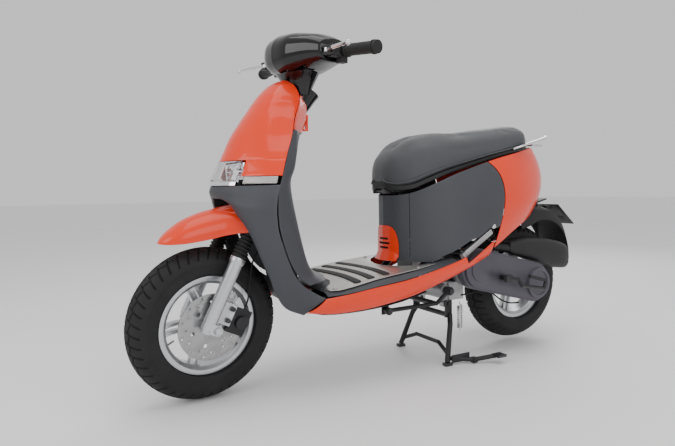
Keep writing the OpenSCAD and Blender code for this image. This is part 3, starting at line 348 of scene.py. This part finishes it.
def leather_bump(m, scale, strength):
    """Adds pebbled grain cells to a material."""
    nt = m.node_tree
    N, L = nt.nodes, nt.links
    b = N["Principled BSDF"]
    co = N.new("ShaderNodeTexCoord")
    v = N.new("ShaderNodeTexVoronoi")
    v.inputs["Scale"].default_value = scale
    L.new(co.outputs["Object"], v.inputs["Vector"])
    bump = N.new("ShaderNodeBump")
    bump.inputs["Strength"].default_value = strength
    bump.inputs["Distance"].default_value = 0.0006
    L.new(v.outputs["Distance"], bump.inputs["Height"])
    old = b.inputs["Normal"].links[0].from_socket
    L.new(old, bump.inputs["Normal"])
    L.new(bump.outputs["Normal"], b.inputs["Normal"])
    return m


def brushed(nt, co, colour):
    """Long fine lines across X, for a brushed or ground metal."""
    N, L = nt.nodes, nt.links
    mp = N.new("ShaderNodeMapping")
    mp.inputs["Scale"].default_value = (900, 14, 900)
    L.new(co.outputs["Object"], mp.inputs["Vector"])
    n = N.new("ShaderNodeTexNoise")
    n.inputs["Scale"].default_value = 1
    L.new(mp.outputs["Vector"], n.inputs["Vector"])
    mix = N.new("ShaderNodeMix")
    mix.data_type = "RGBA"
    mix.blend_type = "MULTIPLY"
    mix.inputs["Factor"].default_value = 0.35
    r = N.new("ShaderNodeValToRGB")
    r.color_ramp.elements[0].color = (0.55, 0.55, 0.55, 1)
    L.new(n.outputs["Fac"], r.inputs["Fac"])
    L.new(colour, mix.inputs["A"])
    L.new(r.outputs["Color"], mix.inputs["B"])
    return mix.outputs["Result"]


MATS = {
    "body_orange": material("body_orange", [0.84, 0.040, 0.006], 0.26, coat=0.3, grain=900,
                            grain_bump=0.02, cloud=3, spread=0.03, rough_spread=0.04, edge=0.04,
                            Specular_IOR_Level=0.25),
    "body_grey": leather_bump(material("body_grey", [0.050, 0.053, 0.061], 0.5, grain=1300,
                              grain_bump=0.22, cloud=5, spread=0.05, edge=0.15,
                              Specular_IOR_Level=0.35), 1500, 0.18),
    "black_plastic": leather_bump(material("black_plastic", [0.017, 0.017, 0.018], 0.5, grain=900,
                                  grain_bump=0.25, spread=0.15, edge=0.25,
                                  Specular_IOR_Level=0.3), 900, 0.3),
    "gloss_black": material("gloss_black", [0.003, 0.003, 0.004], 0.09, coat=0.35, grain=700,
                            grain_bump=0.01, rough_spread=0.03, Specular_IOR_Level=0.3),
    "frame_black": material("frame_black", [0.014, 0.014, 0.016], 0.38, grain=420,
                            grain_bump=0.18, spread=0.2, edge=0.5,
                            edge_colour=[0.09, 0.09, 0.095], Specular_IOR_Level=0.35),
    "silver_paint": material("silver_paint", [0.56, 0.57, 0.59], 0.33, metal=0.85, coat=0.3,
                             grain=1600, grain_bump=0.08, spread=0.05, edge=0.2),
    "cast_alloy": material("cast_alloy", [0.42, 0.42, 0.43], 0.52, metal=0.95, grain=340,
                           grain_bump=0.5, spread=0.16, edge=0.4),
    "polished_alloy": material("polished_alloy", [0.74, 0.74, 0.76], 0.2, metal=1.0, grain=300,
                               grain_bump=0.06, spread=0.05),
    "zinc": material("zinc", [0.52, 0.53, 0.55], 0.32, metal=1.0, grain=260, grain_bump=0.12,
                     cloud=40, spread=0.15, edge=0.3),
    "stainless": material("stainless", [0.60, 0.57, 0.53], 0.34, metal=0.85, grain=500,
                          grain_bump=0.05, extra=brushed),
    "disc_steel": material("disc_steel", [0.40, 0.40, 0.40], 0.3, metal=1.0, grain=800,
                           grain_bump=0.1, extra=brushed),
    "reflector": material("reflector", [0.82, 0.83, 0.86], 0.08, metal=1.0, grain=80,
                          grain_bump=0.08, rough_spread=0.04),
    "rubber": leather_bump(material("rubber", [0.014, 0.014, 0.014], 0.62, grain=700,
                           grain_bump=0.3, spread=0.2, edge=0.2,
                           Specular_IOR_Level=0.3), 700, 0.3),
    "tyre": material("tyre", [0.016, 0.016, 0.017], 0.66, grain=600, grain_bump=0.4, cloud=14,
                     spread=0.25, edge=0.35, edge_colour=[0.05, 0.05, 0.05],
                     Specular_IOR_Level=0.25),
    "cvt_grey": material("cvt_grey", [0.075, 0.070, 0.088], 0.42, metal=0.3, grain=700,
                         grain_bump=0.3, spread=0.12, edge=0.35),
    "seat_vinyl": leather_bump(material("seat_vinyl", [0.044, 0.047, 0.054], 0.52, grain=900,
                               grain_bump=0.15, cloud=7, spread=0.09, edge=0.2,
                               Sheen_Weight=0.12), 620, 0.5),
    "clear_lens": material("clear_lens", [0.97, 0.98, 1.0], 0.04, grain=60, grain_bump=0.04,
                           rough_spread=0.02, Transmission_Weight=0.96, IOR=1.45),
    "signal_lens": material("signal_lens", [0.86, 0.85, 0.82], 0.08, grain=90, grain_bump=0.3,
                            rough_spread=0.03, Transmission_Weight=0.6, IOR=1.45),
    "red_lens": material("red_lens", [0.62, 0.015, 0.012], 0.08, coat=0.6, grain=140,
                         grain_bump=0.25, rough_spread=0.03, Transmission_Weight=0.35,
                         IOR=1.45),
    "light_guide": material("light_guide", [0.62, 0.63, 0.80], 0.22, grain=300, grain_bump=0.08,
                            coat=0.6, Subsurface_Weight=0.2),
}
MATS["floor"] = material("floor", [0.87, 0.87, 0.87], 0.6, grain=120, grain_bump=0.05, cloud=1.5,
                         spread=0.015)

for part in frame["record"]["subparts"]:
    o = nodes[part["node"]]
    o.data.materials.clear()
    o.data.materials.append(MATS[part["material_slot"]])
    custom = o.data.attributes.get("custom_normal")
    if custom:
        o.data.attributes.remove(custom)
    o.data.polygons.foreach_set("use_smooth", [True] * len(o.data.polygons))
    weld = o.modifiers.new("weld", "WELD")
    weld.merge_threshold = 0.00002
    soft = o.modifiers.new("soft_edge", "BEVEL")
    soft.width = 0.0007
    soft.segments = 2
    soft.limit_method = "ANGLE"
    soft.angle_limit = math.radians(38)
    soft.use_clamp_overlap = True
    split = o.modifiers.new("split", "EDGE_SPLIT")
    split.split_angle = math.radians(32)

# ---------- front panels ----------

FRONT = [
    [912, 399, 395, 15, 383, 30], [895, 430, 415, 44, 372, 58], [866, 459, 434, 64, 367, 80],
    [838, 481, 452, 73, 374, 92], [792, 513, 479, 80, 398, 115], [741, 546, 507, 86, 416, 137],
    [694, 568, 530, 90, 440, 160], [640, 593, 550, 95, 462, 179], [600, 608, 566, 98, 476, 190],
    [560, 612, 572, 98, 485, 193]]


def front_at(z, s):
    """Point of the front of the body at a height, from -1 at the right edge to 1 at the left."""
    q = along(FRONT, row_at(FRONT, z))
    sign = -1 if s < 0 else 1
    t = abs(s)
    k, j = min(t * 2, 1), max(t * 2 - 1, 0)
    if t <= 0.5:
        return [q[1] - (q[1] - q[2]) * k * k, sign * q[3] * k, z]
    return [q[2] + (q[4] - q[2]) * j + 7 * sind(180 * j),
            sign * (q[3] + (q[5] - q[3]) * j + 5 * sind(180 * j)), z]


def front_patch(bm, z0, z1, s0, s1, rows, cols, t=SHELL, lift=0):
    G = [[np.array(front_at(z1 + (z0 - z1) * i / rows, s0 + (s1 - s0) * j / cols)) + [lift, 0, 0]
          for j in range(cols + 1)] for i in range(rows + 1)]
    panel_mesh(bm, G, t)


bm = bmesh.new()
front_patch(bm, 673, 911, -1, 1, 60, 96)
front_patch(bm, 629, 674, 0.52, 1, 14, 26)
front_patch(bm, 629, 674, -1, -0.52, 14, 26)
add_object("apron_shell", bm, "chassis", "front_apron", MATS["body_orange"])

bm = bmesh.new()
front_patch(bm, 617, 671, -0.485, 0.485, 16, 60, 2.4, 3)
add_object("nose_lens", bm, "chassis", "headlight_lens", MATS["clear_lens"])

bm = bmesh.new()
front_patch(bm, 609, 627, 0.57, 0.96, 8, 24, 5, 0.5)
front_patch(bm, 609, 627, -0.96, -0.57, 8, 24, 5, 0.5)
add_object("signal_lenses", bm, "chassis", "turn_signals", MATS["signal_lens"])

SHIELD = [
    [[607, -1, 602], [569, 96, 602], [475, 189, 604]],
    [[611, -1, 586], [572, 99, 586], [480, 191, 588]],
    [[602, -1, 569], [573, 101, 571], [484, 192, 573]],
    [[592, 36, 567], [566, 117, 561], [486, 192, 558]],
    [[579, 76, 552], [557, 137, 545], [487, 191, 540]],
    [[568, 98, 524], [546, 149, 519], [486, 190, 515]],
    [[550, 127, 487], [530, 164, 483], [481, 188, 480]],
    [[535, 146, 446], [514, 173, 446], [470, 186, 445]],
    [[518, 154, 399], [496, 176, 401], [454, 183, 402]],
    [[497, 154, 352], [474, 174, 353], [431, 180, 354]],
    [[480, 152, 308], [451, 172, 316], [405, 177, 325]],
    [[448, 146, 262], [412, 168, 282], [366, 178, 299]],
    [[394, 147, 236], [370, 172, 262], [343, 186, 286]]]
G = [[bow(q[0], q[1], q[2], j / 28) for j in range(29)]
     for q in (along(SHIELD, i * 12 / 72) for i in range(73))]
bm = bmesh.new()
panel_mesh(bm, G, SHELL)
panel_mesh(bm, mirrored(G), SHELL)
add_object("leg_shield_shell", bm, "chassis", "leg_shield", MATS["body_grey"])

KNEE = [
    [757, 407, 124, 388, 116, 334], [735, 415, 134, 394, 126, 341], [700, 433, 152, 401, 134, 355],
    [650, 453, 171, 412, 139, 367], [615, 467, 183, 427, 143, 373], [570, 479, 188, 424, 143, 373],
    [490, 476, 186, 407, 142, 367], [410, 450, 179, 385, 138, 350], [370, 430, 177, 369, 134, 330],
    [343, 408, 175, 348, 128, 300], [324, 380, 173, 310, 122, 258]]


def knee_at(q, s):
    """Point across the knee panel at a row of KNEE, for s from 0 at the left to 1 at the right."""
    z, edge_x, edge_y, bend_x, bend_y, mid_x = q
    half_x, half_y = 0.45 * bend_x + 0.55 * mid_x, 0.55 * bend_y
    return along([[edge_x, edge_y, z], [bend_x, bend_y, z], [half_x, half_y, z], [mid_x, 0, z],
                  [half_x, -half_y, z], [bend_x, -bend_y, z], [edge_x, -edge_y, z]], s * 6)


G = [[knee_at(along(KNEE, row_at(KNEE, 326 + 430 * i / 60)), 1 - j / 60) for j in range(61)]
     for i in range(61)]
bm = bmesh.new()
panel_mesh(bm, G, SHELL)
add_object("knee_shell", bm, "chassis", "knee_panel", MATS["body_grey"])

# ---------- side skirts ----------

SKIRT = [
    [[341, 186, 284], [390, 159, 243]], [[271, 194, 291], [307, 165, 233]],
    [[182, 197, 302], [200, 168, 235]], [[71, 197, 314], [100, 168, 246]],
    [[-16, 196, 330], [10, 168, 262]], [[-140, 193, 359], [-110, 168, 296]],
    [[-226, 189, 392], [-205, 173, 331]], [[-300, 184, 431], [-280, 175, 364]]]
PEG = (Matrix.Translation(Vector((-182, 158, 371)) * MM)
       @ Matrix.Rotation(math.radians(PEG_TURN), 4, "Y"))
MIRROR = Matrix.Scale(-1, 4, (0, 1, 0))


def recess_cutters():
    """One box a side, where the folded footpeg lies."""
    return [box_cutter((-158, -22, -21), (174, 70, 42), m) for m in (PEG, MIRROR @ PEG)]


G = []
for i in range(73):
    q = along(SKIRT, i * 7 / 72)
    mid = (q[0] + q[1]) / 2 + [0, 7, -3]
    G.append([bow(q[1], mid, q[0], j / 16) for j in range(17)])
bm = bmesh.new()
panel_mesh(bm, G, SHELL)
panel_mesh(bm, mirrored(G), SHELL)
skirts = add_object("skirt_shells", bm, "chassis", "side_skirts",
                    MATS["body_orange"])
cut(skirts, recess_cutters())
smooth_again(skirts)

# ---------- body under the seat ----------

BODY = [
    [[26, 0, 345], [24, 0, 460], [26, 0, 572]], [[12, 45, 345], [11, 45, 460], [12, 46, 572]],
    [[-14, 84, 345], [-16, 82, 465], [-15, 80, 577]],
    [[-56, 122, 345], [-52, 114, 472], [-50, 107, 590]],
    [[-102, 152, 350], [-100, 141, 488], [-98, 131, 613]],
    [[-160, 170, 343], [-160, 163, 510], [-160, 149, 640]],
    [[-250, 170, 355], [-250, 175, 540], [-250, 154, 668]],
    [[-330, 160, 388], [-335, 176, 565], [-340, 151, 692]],
    [[-410, 148, 430], [-430, 162, 582], [-430, 139, 712]],
    [[-490, 128, 464], [-520, 138, 598], [-505, 116, 728]],
    [[-555, 98, 488], [-600, 104, 612], [-565, 88, 738]],
    [[-600, 60, 505], [-655, 60, 618], [-598, 52, 742]],
    [[-615, 0, 510], [-680, 0, 622], [-612, 0, 744]]]


def body_at(u, v):
    """Point of the body under the seat: u runs back from the column, v up, and u < 0 is right."""
    q = along(BODY, abs(u))
    p = bow(q[0], q[1], q[2], v)
    return p * [1, -1, 1] if u < 0 else p


def seam_u(v):
    """Where the side cover ends and the tail cowl begins."""
    return float(bow([6.72], [7.16], [6.4], v)[0])


def cover_v(u):
    """Lower edge of the side cover."""
    return 0.03 if u < 3.5 else min(0.19, 0.03 + (u - 3.5) * 0.08)


G = []
for i in range(57):
    row = []
    for j in range(41):
        v = 1 - j / 40
        end = seam_u(0.19 + 0.795 * v)
        u = 2.14 + (end - 2.16) * i / 56
        w0 = cover_v(u)
        row.append(body_at(u, w0 + (0.985 - w0) * v))
    G.append(row)
for name, node, grid in (("cover_left_shell", "side_cover_left", np.array(G)),
                         ("cover_right_shell", "side_cover_right", mirrored(G))):
    bm = bmesh.new()
    panel_mesh(bm, grid, SHELL)
    o = add_object(name, bm, "chassis", node, MATS["body_grey"])
    cut(o, recess_cutters())
    smooth_again(o)


def slot_cutters():
    """The three cooling slots under the seat nose."""
    return [box_cutter((0, -w, z - 3.5), (60, 2 * w, 7))
            for z, w in ((425, 24), (410, 30), (395, 24))]


G = [[body_at(-2.1 + 4.2 * i / 48, 0.985 - 0.945 * j / 40) for j in range(41)] for i in range(49)]
bm = bmesh.new()
panel_mesh(bm, G, SHELL)
o = add_object("column_shell", bm, "chassis", "column_cover", MATS["body_grey"])
cut(o, slot_cutters())
smooth_again(o)

G = []
for i in range(49):
    k = -1 + i / 24
    row = []
    for j in range(29):
        jj = j / 4
        v = (0.04 + 0.5 * math.sqrt(1 - 0.8 * k ** 4)) * (1 - jj / 7) + 0.035 * jj / 7
        row.append(body_at(k * 1.35, v) + [3.4 + ((jj - 5) * 6 if jj > 5 else 0), k * 2.5, 0])
    G.append(row)
bm = bmesh.new()
panel_mesh(bm, G, 2.4)
o = add_object("vent_shell", bm, "chassis", "vent_panel", MATS["body_orange"])
cut(o, slot_cutters())
smooth_again(o)

G = []
for i in range(97):
    k = 1 - i / 48
    row = []
    for j in range(41):
        v = 0.02 + 0.965 * (1 - j / 40)
        u = 12 - (11.97 - seam_u(v)) * abs(k)
        row.append(body_at(-u if k < 0 else u, v))
    G.append(row)
bm = bmesh.new()
panel_mesh(bm, G, SHELL)
o = add_object("tail_shell", bm, "chassis", "tail_cowl", MATS["body_orange"])
cut(o, recess_cutters() + [box_cutter((-700, -62, 636), (84, 124, 62))])
smooth_again(o)

# ---------- front fender ----------

FENDER = [
    [765, 454, 8, 451], [752, 471, 26, 451], [730, 490, 42, 452], [696, 512, 53, 455],
    [647, 531, 60, 462], [604, 541, 66, 471], [570, 547, 84, 478], [540, 550, 103, 481],
    [505, 548, 104, 484]]
G = []
for i in range(81):
    q = along(FENDER, i * 8 / 80)
    G.append([[q[0], q[2] * sind(90 - a), q[3] + (q[1] - q[3]) * max(cosd(90 - a), 0) ** 0.75]
              for a in np.linspace(0, 180, 61)])
bm = bmesh.new()
panel_mesh(bm, G, SHELL, matrix=STEERED)
fender = add_object("fender_shell", bm, "steering", "front_fender",
                    MATS["body_orange"])
cut(fender, [rod_cutter((FORK_D, y, 400), 23.5, 300, STEERED @ ON_AXIS)
             for y in (-FORK_Y, FORK_Y)])
smooth_again(fender)

# ---------- headset cover ----------

HEAD = [
    [0, 254, 428, 925, 1051], [50, 254, 421, 930, 1048], [90, 255, 403, 940, 1042],
    [120, 258, 386, 948, 1036], [145, 264, 371, 953, 1026], [166, 274, 357, 957, 1015]]
NECK = [[874, 300, 376, 44], [895, 294, 384, 52], [915, 287, 384, 64], [940, 279, 398, 86]]


def head_at(y):
    """Row of HEAD at a distance from the middle."""
    return along(HEAD, row_at(HEAD, min(abs(y), 165.99)))


bm = bmesh.new()
rings = []
for y in np.linspace(-158, 158, 97):
    q = head_at(y)
    ring = []
    for a in np.linspace(0, 360, 96, endpoint=False):
        c, s = cosd(a), sind(a)
        shut = 0.96 if abs(y) > 157 else 1
        across = (q[2] - q[1]) / 2 * shut * math.copysign(abs(c) ** 0.8, c)
        high = (q[4] - q[3]) / 2 * shut * math.copysign(abs(s) ** 0.8, s)
        p = Vector(((q[1] + q[2]) / 2 + across, y, (q[3] + q[4]) / 2 + high))
        ring.append(bm.verts.new(STEERED @ (p * MM)))
    rings.append(ring)
grid_faces(bm, rings, close_cols=True)
bm.faces.new(rings[0])
bm.faces.new(rings[-1])
rings = []
for z in np.linspace(874, 940, 34):
    q = along(NECK, row_at(NECK, min(z, 939.99)))
    rings.append([bm.verts.new(STEERED @ (Vector(((q[1] + q[2]) / 2 + (q[2] - q[1]) / 2 * cosd(a),
                                                  q[3] * sind(a), z)) * MM))
                  for a in np.linspace(0, 360, 72, endpoint=False)])
grid_faces(bm, rings, close_cols=True)
bm.faces.new(rings[0])
rings = []
for s, r in ((932, 4), (932, 30), (933, 31), (951, 35), (970, 39), (990, 45)):
    rings.append([bm.verts.new(STEERED @ ON_AXIS @ (Vector((r * cosd(a), r * sind(a), s)) * MM))
                  for a in np.linspace(0, 360, 72, endpoint=False)])
grid_faces(bm, rings, close_cols=True)
add_object("headset_shell", bm, "steering", "headset_cover", MATS["gloss_black"],
           angle=50)

G = []
for y in np.linspace(-108, 108, 61):
    q = head_at(y)
    row = []
    for z in np.linspace(996, 1004, 7):
        zz = abs(z - (q[3] + q[4]) / 2) / ((q[4] - q[3]) / 2)
        row.append([(q[1] + q[2]) / 2 + (q[2] - q[1]) / 2 * (1 - zz ** 1.25) ** 0.4 + 1.2, y, z])
    G.append(row)
bm = bmesh.new()
panel_mesh(bm, G, 1.6, roll_edge=0.5, matrix=STEERED)
add_object("light_line", bm, "steering", "light_strip", MATS["light_guide"])

# ---------- tyres ----------


def tread_depth(theta, y):
    """Depth of the tread grooves at an angle and a distance from the middle of the tread."""
    pitch = 360 / 44
    tri = abs((theta / pitch) % 1.0 * 2 - 1) * 2 - 1

    def groove(d, half, soft=0.8):
        return max(0.0, min(1.0, (half + soft - abs(d)) / (2 * soft)))

    d = groove(y - 3.2 * tri, 2.0)
    for sgn in (-1, 1):
        a = y * sgn
        shift = 0.5 if sgn > 0 else 0
        d = max(d, groove(a - 20 - 2.5 * tri, 1.6))
        if 5 < a < 47:
            # slanting grooves from the middle to the shoulder, every half pitch
            base = (theta / pitch + shift + (a - 5) * 0.017) % 1.0
            w = 1.6 + a * 0.02
            dist = (min(base, 1 - base)) * pitch / 180 * math.pi * 210
            edge = min(1.0, (a - 5) / 3) * min(1.0, (47 - a) / 3)
            d = max(d, groove(dist, w) * edge)
    return 4.6 * d * (1.0 if abs(y) < 44 else max(0.0, (48 - abs(y)) / 4))


def tyre(name, node, body, matrix):
    """A tyre of round section, with ribs on its walls and a cut tread."""
    bm = bmesh.new()
    profile = []
    inner_r, cy, rr = 142.1, 165, 52
    for y in np.linspace(-47.6, 47.6, 68):
        profile.append((cy + math.sqrt(rr * rr - y * y), y))
    walls = []
    for k in range(1, 15):
        r = profile[-1][0] + (inner_r + 1 - profile[-1][0]) * k / 14
        a = (r - cy)
        y = min(50, math.sqrt(max(rr * rr - a * a, 0)))
        rib = 0.7 if k in (3, 8, 11) else 0
        walls.append((r, y + rib - 0.7))
    left = [(r, -y) for r, y in walls]
    line = [(inner_r, -38)] + left[::-1] + profile + walls + [(inner_r, 38)]
    n = 704
    rings = []
    for i in range(n):
        theta = 360 * i / n
        ring = []
        for r, y in line:
            if abs(y) < 48.5 and r > 180:
                nr, ny = (r - cy) / rr, y / rr
                depth = tread_depth(theta, y)
                pr, py = r - nr * depth, y - ny * depth
            else:
                pr, py = r, y
            p = Vector((pr * cosd(theta), py, pr * sind(theta)))
            ring.append(bm.verts.new(matrix @ (p * MM)))
        rings.append(ring)
    grid_faces(bm, rings, close_rows=True)
    # inner closing band between the beads
    for i in range(n):
        j = (i + 1) % n
        bm.faces.new([rings[i][-1], rings[i][0], rings[j][0], rings[j][-1]])
    return add_object(name, bm, body, node, MATS["tyre"], angle=35)


tyre("front_tyre_tread", "front_tyre", "front_wheel",
     STEERED @ Matrix.Translation(Vector(FRONT_HUB) * MM))
tyre("rear_tyre_tread", "rear_tyre", "rear_wheel", Matrix.Translation(Vector(REAR_HUB) * MM))

# ---------- springs and boots ----------


def wire_tube(bm, path, r, sides=12):
    """A round wire along a path."""
    P = np.asarray(path, float)
    rings = []
    ref = Vector((0.31, 0.2, 0.93))
    for i in range(len(P)):
        d = Vector(P[min(i + 1, len(P) - 1)] - P[max(i - 1, 0)]).normalized()
        u = d.cross(ref).normalized()
        v = d.cross(u)
        rings.append([bm.verts.new((Vector(P[i]) + r * (cosd(a) * u + sind(a) * v)) * MM)
                      for a in np.linspace(0, 360, sides, endpoint=False)])
    grid_faces(bm, rings, close_cols=True)
    bm.faces.new(rings[0])
    bm.faces.new(rings[-1])


def helix(foot, top, r, turns, steps_per_turn=28, start=0.0, end=1.0):
    """A coil between two fractions of the way from foot to top."""
    foot, top = Vector(foot), Vector(top)
    d = (top - foot)
    w = d.normalized()
    u = w.cross(Vector((0, 1, 0))).normalized()
    v = w.cross(u)
    n = int(turns * steps_per_turn)
    out = []
    for i in range(n + 1):
        t = i / n
        # the end turns lie flatter, as on a closed and ground spring
        h = start + (end - start) * (t - 0.45 * math.sin(2 * math.pi * t) / (2 * math.pi) * 0.5)
        a = 2 * math.pi * turns * t
        out.append(foot + d * h + r * (math.cos(a) * u + math.sin(a) * v))
    return out


# the shock absorber's eyes, and the part of its length that the spring takes up
TOP, BOTTOM = Vector((-338, 70, 545)), Vector((-392, 70, 370))
SPRING_FROM, SPRING_TO = 0.15, 0.86
bm = bmesh.new()
wire_tube(bm, helix(BOTTOM, TOP, 22.5, 8.5, start=SPRING_FROM, end=SPRING_TO), 3.6)
spring = add_object("shock_coil", bm, None, "shock_spring", MATS["frame_black"])
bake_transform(spring)

bm = bmesh.new()
coil = helix((-212, 108, 112), (-212, 108, 190), 8, 14)
wire_tube(bm, [Vector((-212, 108, 98)), Vector((-211, 108, 106))] + coil
          + [Vector((-211, 108, 196)), Vector((-212, 108, 205))], 1.8, 10)
add_object("stand_coil", bm, "swing_unit", "stand_spring", MATS["zinc"])

m = STEERED @ ON_AXIS
for sign, word in ((1, "left"), (-1, "right")):
    y = sign * FORK_Y
    bm = bmesh.new()
    rings = []
    for i in range(121):
        z = 447 + 96 * i / 120
        fold = (i / 120 * 9) % 1
        r = 17.4 + 4.6 * (0.5 - 0.5 * math.cos(2 * math.pi * fold)) ** 0.7
        if i < 4 or i > 116:
            r = 19.5
        rings.append([bm.verts.new(m @ (Vector((FORK_D + r * cosd(a), y + r * sind(a), z)) * MM))
                      for a in np.linspace(0, 360, 48, endpoint=False)])
    grid_faces(bm, rings, close_cols=True)
    boot = add_object("boot_" + word, bm, None, "fork_boots", MATS["rubber"], angle=70)
    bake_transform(boot)

# ---------- seat ----------

SEAT = [
    [49, 628, 645, 22], [44, 604, 668, 43], [34, 594, 688, 62], [20, 590, 705, 83],
    [-2, 592, 722, 105], [-25, 597, 743, 118], [-55, 610, 758, 129], [-127, 637, 773, 142],
    [-215, 662, 777, 148], [-307, 687, 789, 150], [-404, 710, 802, 146], [-470, 724, 810, 141],
    [-505, 730, 812, 130], [-535, 736, 809, 101], [-562, 742, 806, 78], [-582, 749, 799, 56],
    [-592, 757, 788, 36], [-596, 764, 777, 18]]


def seat_point(q, a, shrink):
    """Point of the seat's section at a row of SEAT and an angle round it."""
    c, s = cosd(a), sind(a)
    e = 0.72 if s > 0 else 0.42
    w, z0, z1 = q[3] - shrink, q[1] + shrink, q[2] - shrink
    h = 0.34 + 0.66 * abs(s) ** e if s > 0 else 0.34 * (1 - abs(s) ** e)
    return Vector((q[0], w * math.copysign(abs(c) ** 0.62, c) * (0.99 if s < 0 else 1),
                   z0 + (z1 - z0) * h))


def seat_mesh(shrink, rows, cols):
    """The cushion before it swells, a little smaller than the CAD solid."""
    bm = bmesh.new()
    rings = []
    for i in range(rows + 1):
        q = along(SEAT, 17 * (i / rows))
        q = [q[0] * (1 - 0.012) - 2, q[1], max(q[2], q[1] + 6), max(q[3], 4)]
        less = min(shrink, 0.25 * (q[2] - q[1]))
        rings.append([bm.verts.new(seat_point(q, a, less) * MM)
                      for a in np.linspace(0, 360, cols, endpoint=False)])
    grid_faces(bm, rings, close_cols=True)
    bm.faces.new(rings[0])
    bm.faces.new(rings[-1])
    return bm


def swell(o, voxel, pressure, cap, frames=20):
    """Swells the pad as foam under its cover, with its base held, by at most cap metres."""
    rm = o.modifiers.new("remesh", "REMESH")
    rm.mode = "VOXEL"
    rm.voxel_size = voxel
    rm.use_smooth_shade = True
    bpy.context.view_layer.update()
    dg = bpy.context.evaluated_depsgraph_get()
    o.data = bpy.data.meshes.new_from_object(o.evaluated_get(dg))
    o.modifiers.clear()
    n = len(o.data.vertices)
    rest = np.zeros(n * 3)
    o.data.vertices.foreach_get("co", rest)
    rest = rest.reshape(-1, 3)
    group = o.vertex_groups.new(name="base")
    low = [i for i in range(n)
           if rest[i, 2] < np.interp(-rest[i, 0], [-0.05, 0.02, 0.127, 0.307, 0.47, 0.6],
                                     [0.61, 0.604, 0.648, 0.698, 0.735, 0.768])]
    group.add(low, 1.0, "REPLACE")
    c = o.modifiers.new("cloth", "CLOTH")
    st = c.settings
    st.quality = 5
    st.mass = 0.3
    st.tension_stiffness = 18
    st.compression_stiffness = 18
    st.shear_stiffness = 6
    st.bending_stiffness = 2.0
    st.use_pressure = True
    st.uniform_pressure_force = pressure
    st.vertex_group_mass = "base"
    st.effector_weights.gravity = 0
    c.collision_settings.use_collision = False
    c.point_cache.frame_start, c.point_cache.frame_end = 1, frames
    for f in range(1, frames + 1):
        scene.frame_set(f)
    dg = bpy.context.evaluated_depsgraph_get()
    new = o.evaluated_get(dg).to_mesh()
    now = np.zeros(n * 3)
    new.vertices.foreach_get("co", now)
    now = now.reshape(-1, 3)
    o.evaluated_get(dg).to_mesh_clear()
    move = now - rest
    far = np.linalg.norm(move, axis=1, keepdims=True)
    move *= np.minimum(1, cap / np.maximum(far, 1e-9))
    o.modifiers.clear()
    o.data.vertices.foreach_set("co", (rest + move).ravel())
    o.data.update()
    scene.frame_set(1)


pad = add_object("seat_pad", seat_mesh(0.8, 90, 96), None, None, MATS["seat_vinyl"], angle=0)
swell(pad, 0.006, 4.0, 0.005)
sub = pad.modifiers.new("smooth", "SUBSURF")
sub.levels = sub.render_levels = 1
relax = pad.modifiers.new("relax", "CORRECTIVE_SMOOTH")
relax.factor = 0.5
relax.iterations = 14
relax.use_only_smooth = True
bpy.context.view_layer.update()
dg = bpy.context.evaluated_depsgraph_get()
pad.data = bpy.data.meshes.new_from_object(pad.evaluated_get(dg))
pad.modifiers.clear()
pad.data.polygons.foreach_set("use_smooth", [True] * len(pad.data.polygons))
pad.vertex_groups.clear()
pad.data.materials.clear()
pad.data.materials.append(MATS["seat_vinyl"])
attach(pad, "seat")
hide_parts("seat")

# black base pan under the cushion
bm = bmesh.new()
rings = []
for i in range(61):
    q = along(SEAT, 1.0 + 15.2 * i / 60)
    w = max(q[3] - 6, 5)
    ring = []
    for a in np.linspace(0, 360, 48, endpoint=False):
        c, sn = cosd(a), sind(a)
        ring.append(bm.verts.new(Vector((q[0], w * math.copysign(abs(c) ** 0.35, c),
                                         q[1] + 3 + 11 * math.copysign(abs(sn) ** 0.35, sn))) * MM))
    rings.append(ring)
grid_faces(bm, rings, close_cols=True)
bm.faces.new(rings[0])
bm.faces.new(rings[-1])
add_object("seat_base", bm, "seat", None, MATS["black_plastic"], angle=60)

# welt that closes the cover against the base pan, 9 degrees below the middle of the section
for sgn, word in ((1, "left"), (-1, "right")):
    welt = []
    for i in range(121):
        q = along(SEAT, 0.4 + 16.2 * i / 120)
        p = seat_point(q, -9 if sgn > 0 else 189, 0)
        welt.append(Vector((p.x, p.y * 0.992, p.z - 3)))
    bm = bmesh.new()
    wire_tube(bm, welt, 2.2, 10)
    add_object("seat_welt_" + word, bm, "seat", None, MATS["seat_vinyl"])

# ---------- floor and light ----------

bm = bmesh.new()
grid_faces(bm, [[bm.verts.new((x, y, 0.0)) for y in np.linspace(-30, 30, 41)]
                for x in np.linspace(-30, 30, 41)])
ground = add_object("ground", bm, None, None, MATS["floor"])

world = bpy.data.worlds.new("studio")
scene.world = world
world.use_nodes = True
world.node_tree.nodes["Background"].inputs["Color"].default_value = (1, 1, 1, 1)
world.node_tree.nodes["Background"].inputs["Strength"].default_value = 0.8


def soft_light(name, place, target, size, power):
    """A rectangular area light that faces its target."""
    d = bpy.data.lights.new(name, "AREA")
    d.shape = "RECTANGLE"
    d.size, d.size_y = size
    d.energy = power
    o = bpy.data.objects.new(name, d)
    scene.collection.objects.link(o)
    o.location = place
    o.rotation_euler = (Vector(target) - Vector(place)).to_track_quat("-Z", "Y").to_euler()


soft_light("top", (0.1, 0.4, 3.2), (0, 0, 0.5), (3.0, 2.2), 42)
soft_light("left", (0.2, 3.2, 1.6), (0, 0, 0.5), (2.6, 1.6), 26)
soft_light("front", (3.2, 0.6, 1.8), (0.2, 0, 0.5), (1.6, 1.6), 24)
soft_light("back", (-2.6, -2.2, 2.2), (0, 0, 0.5), (2.0, 1.6), 30)
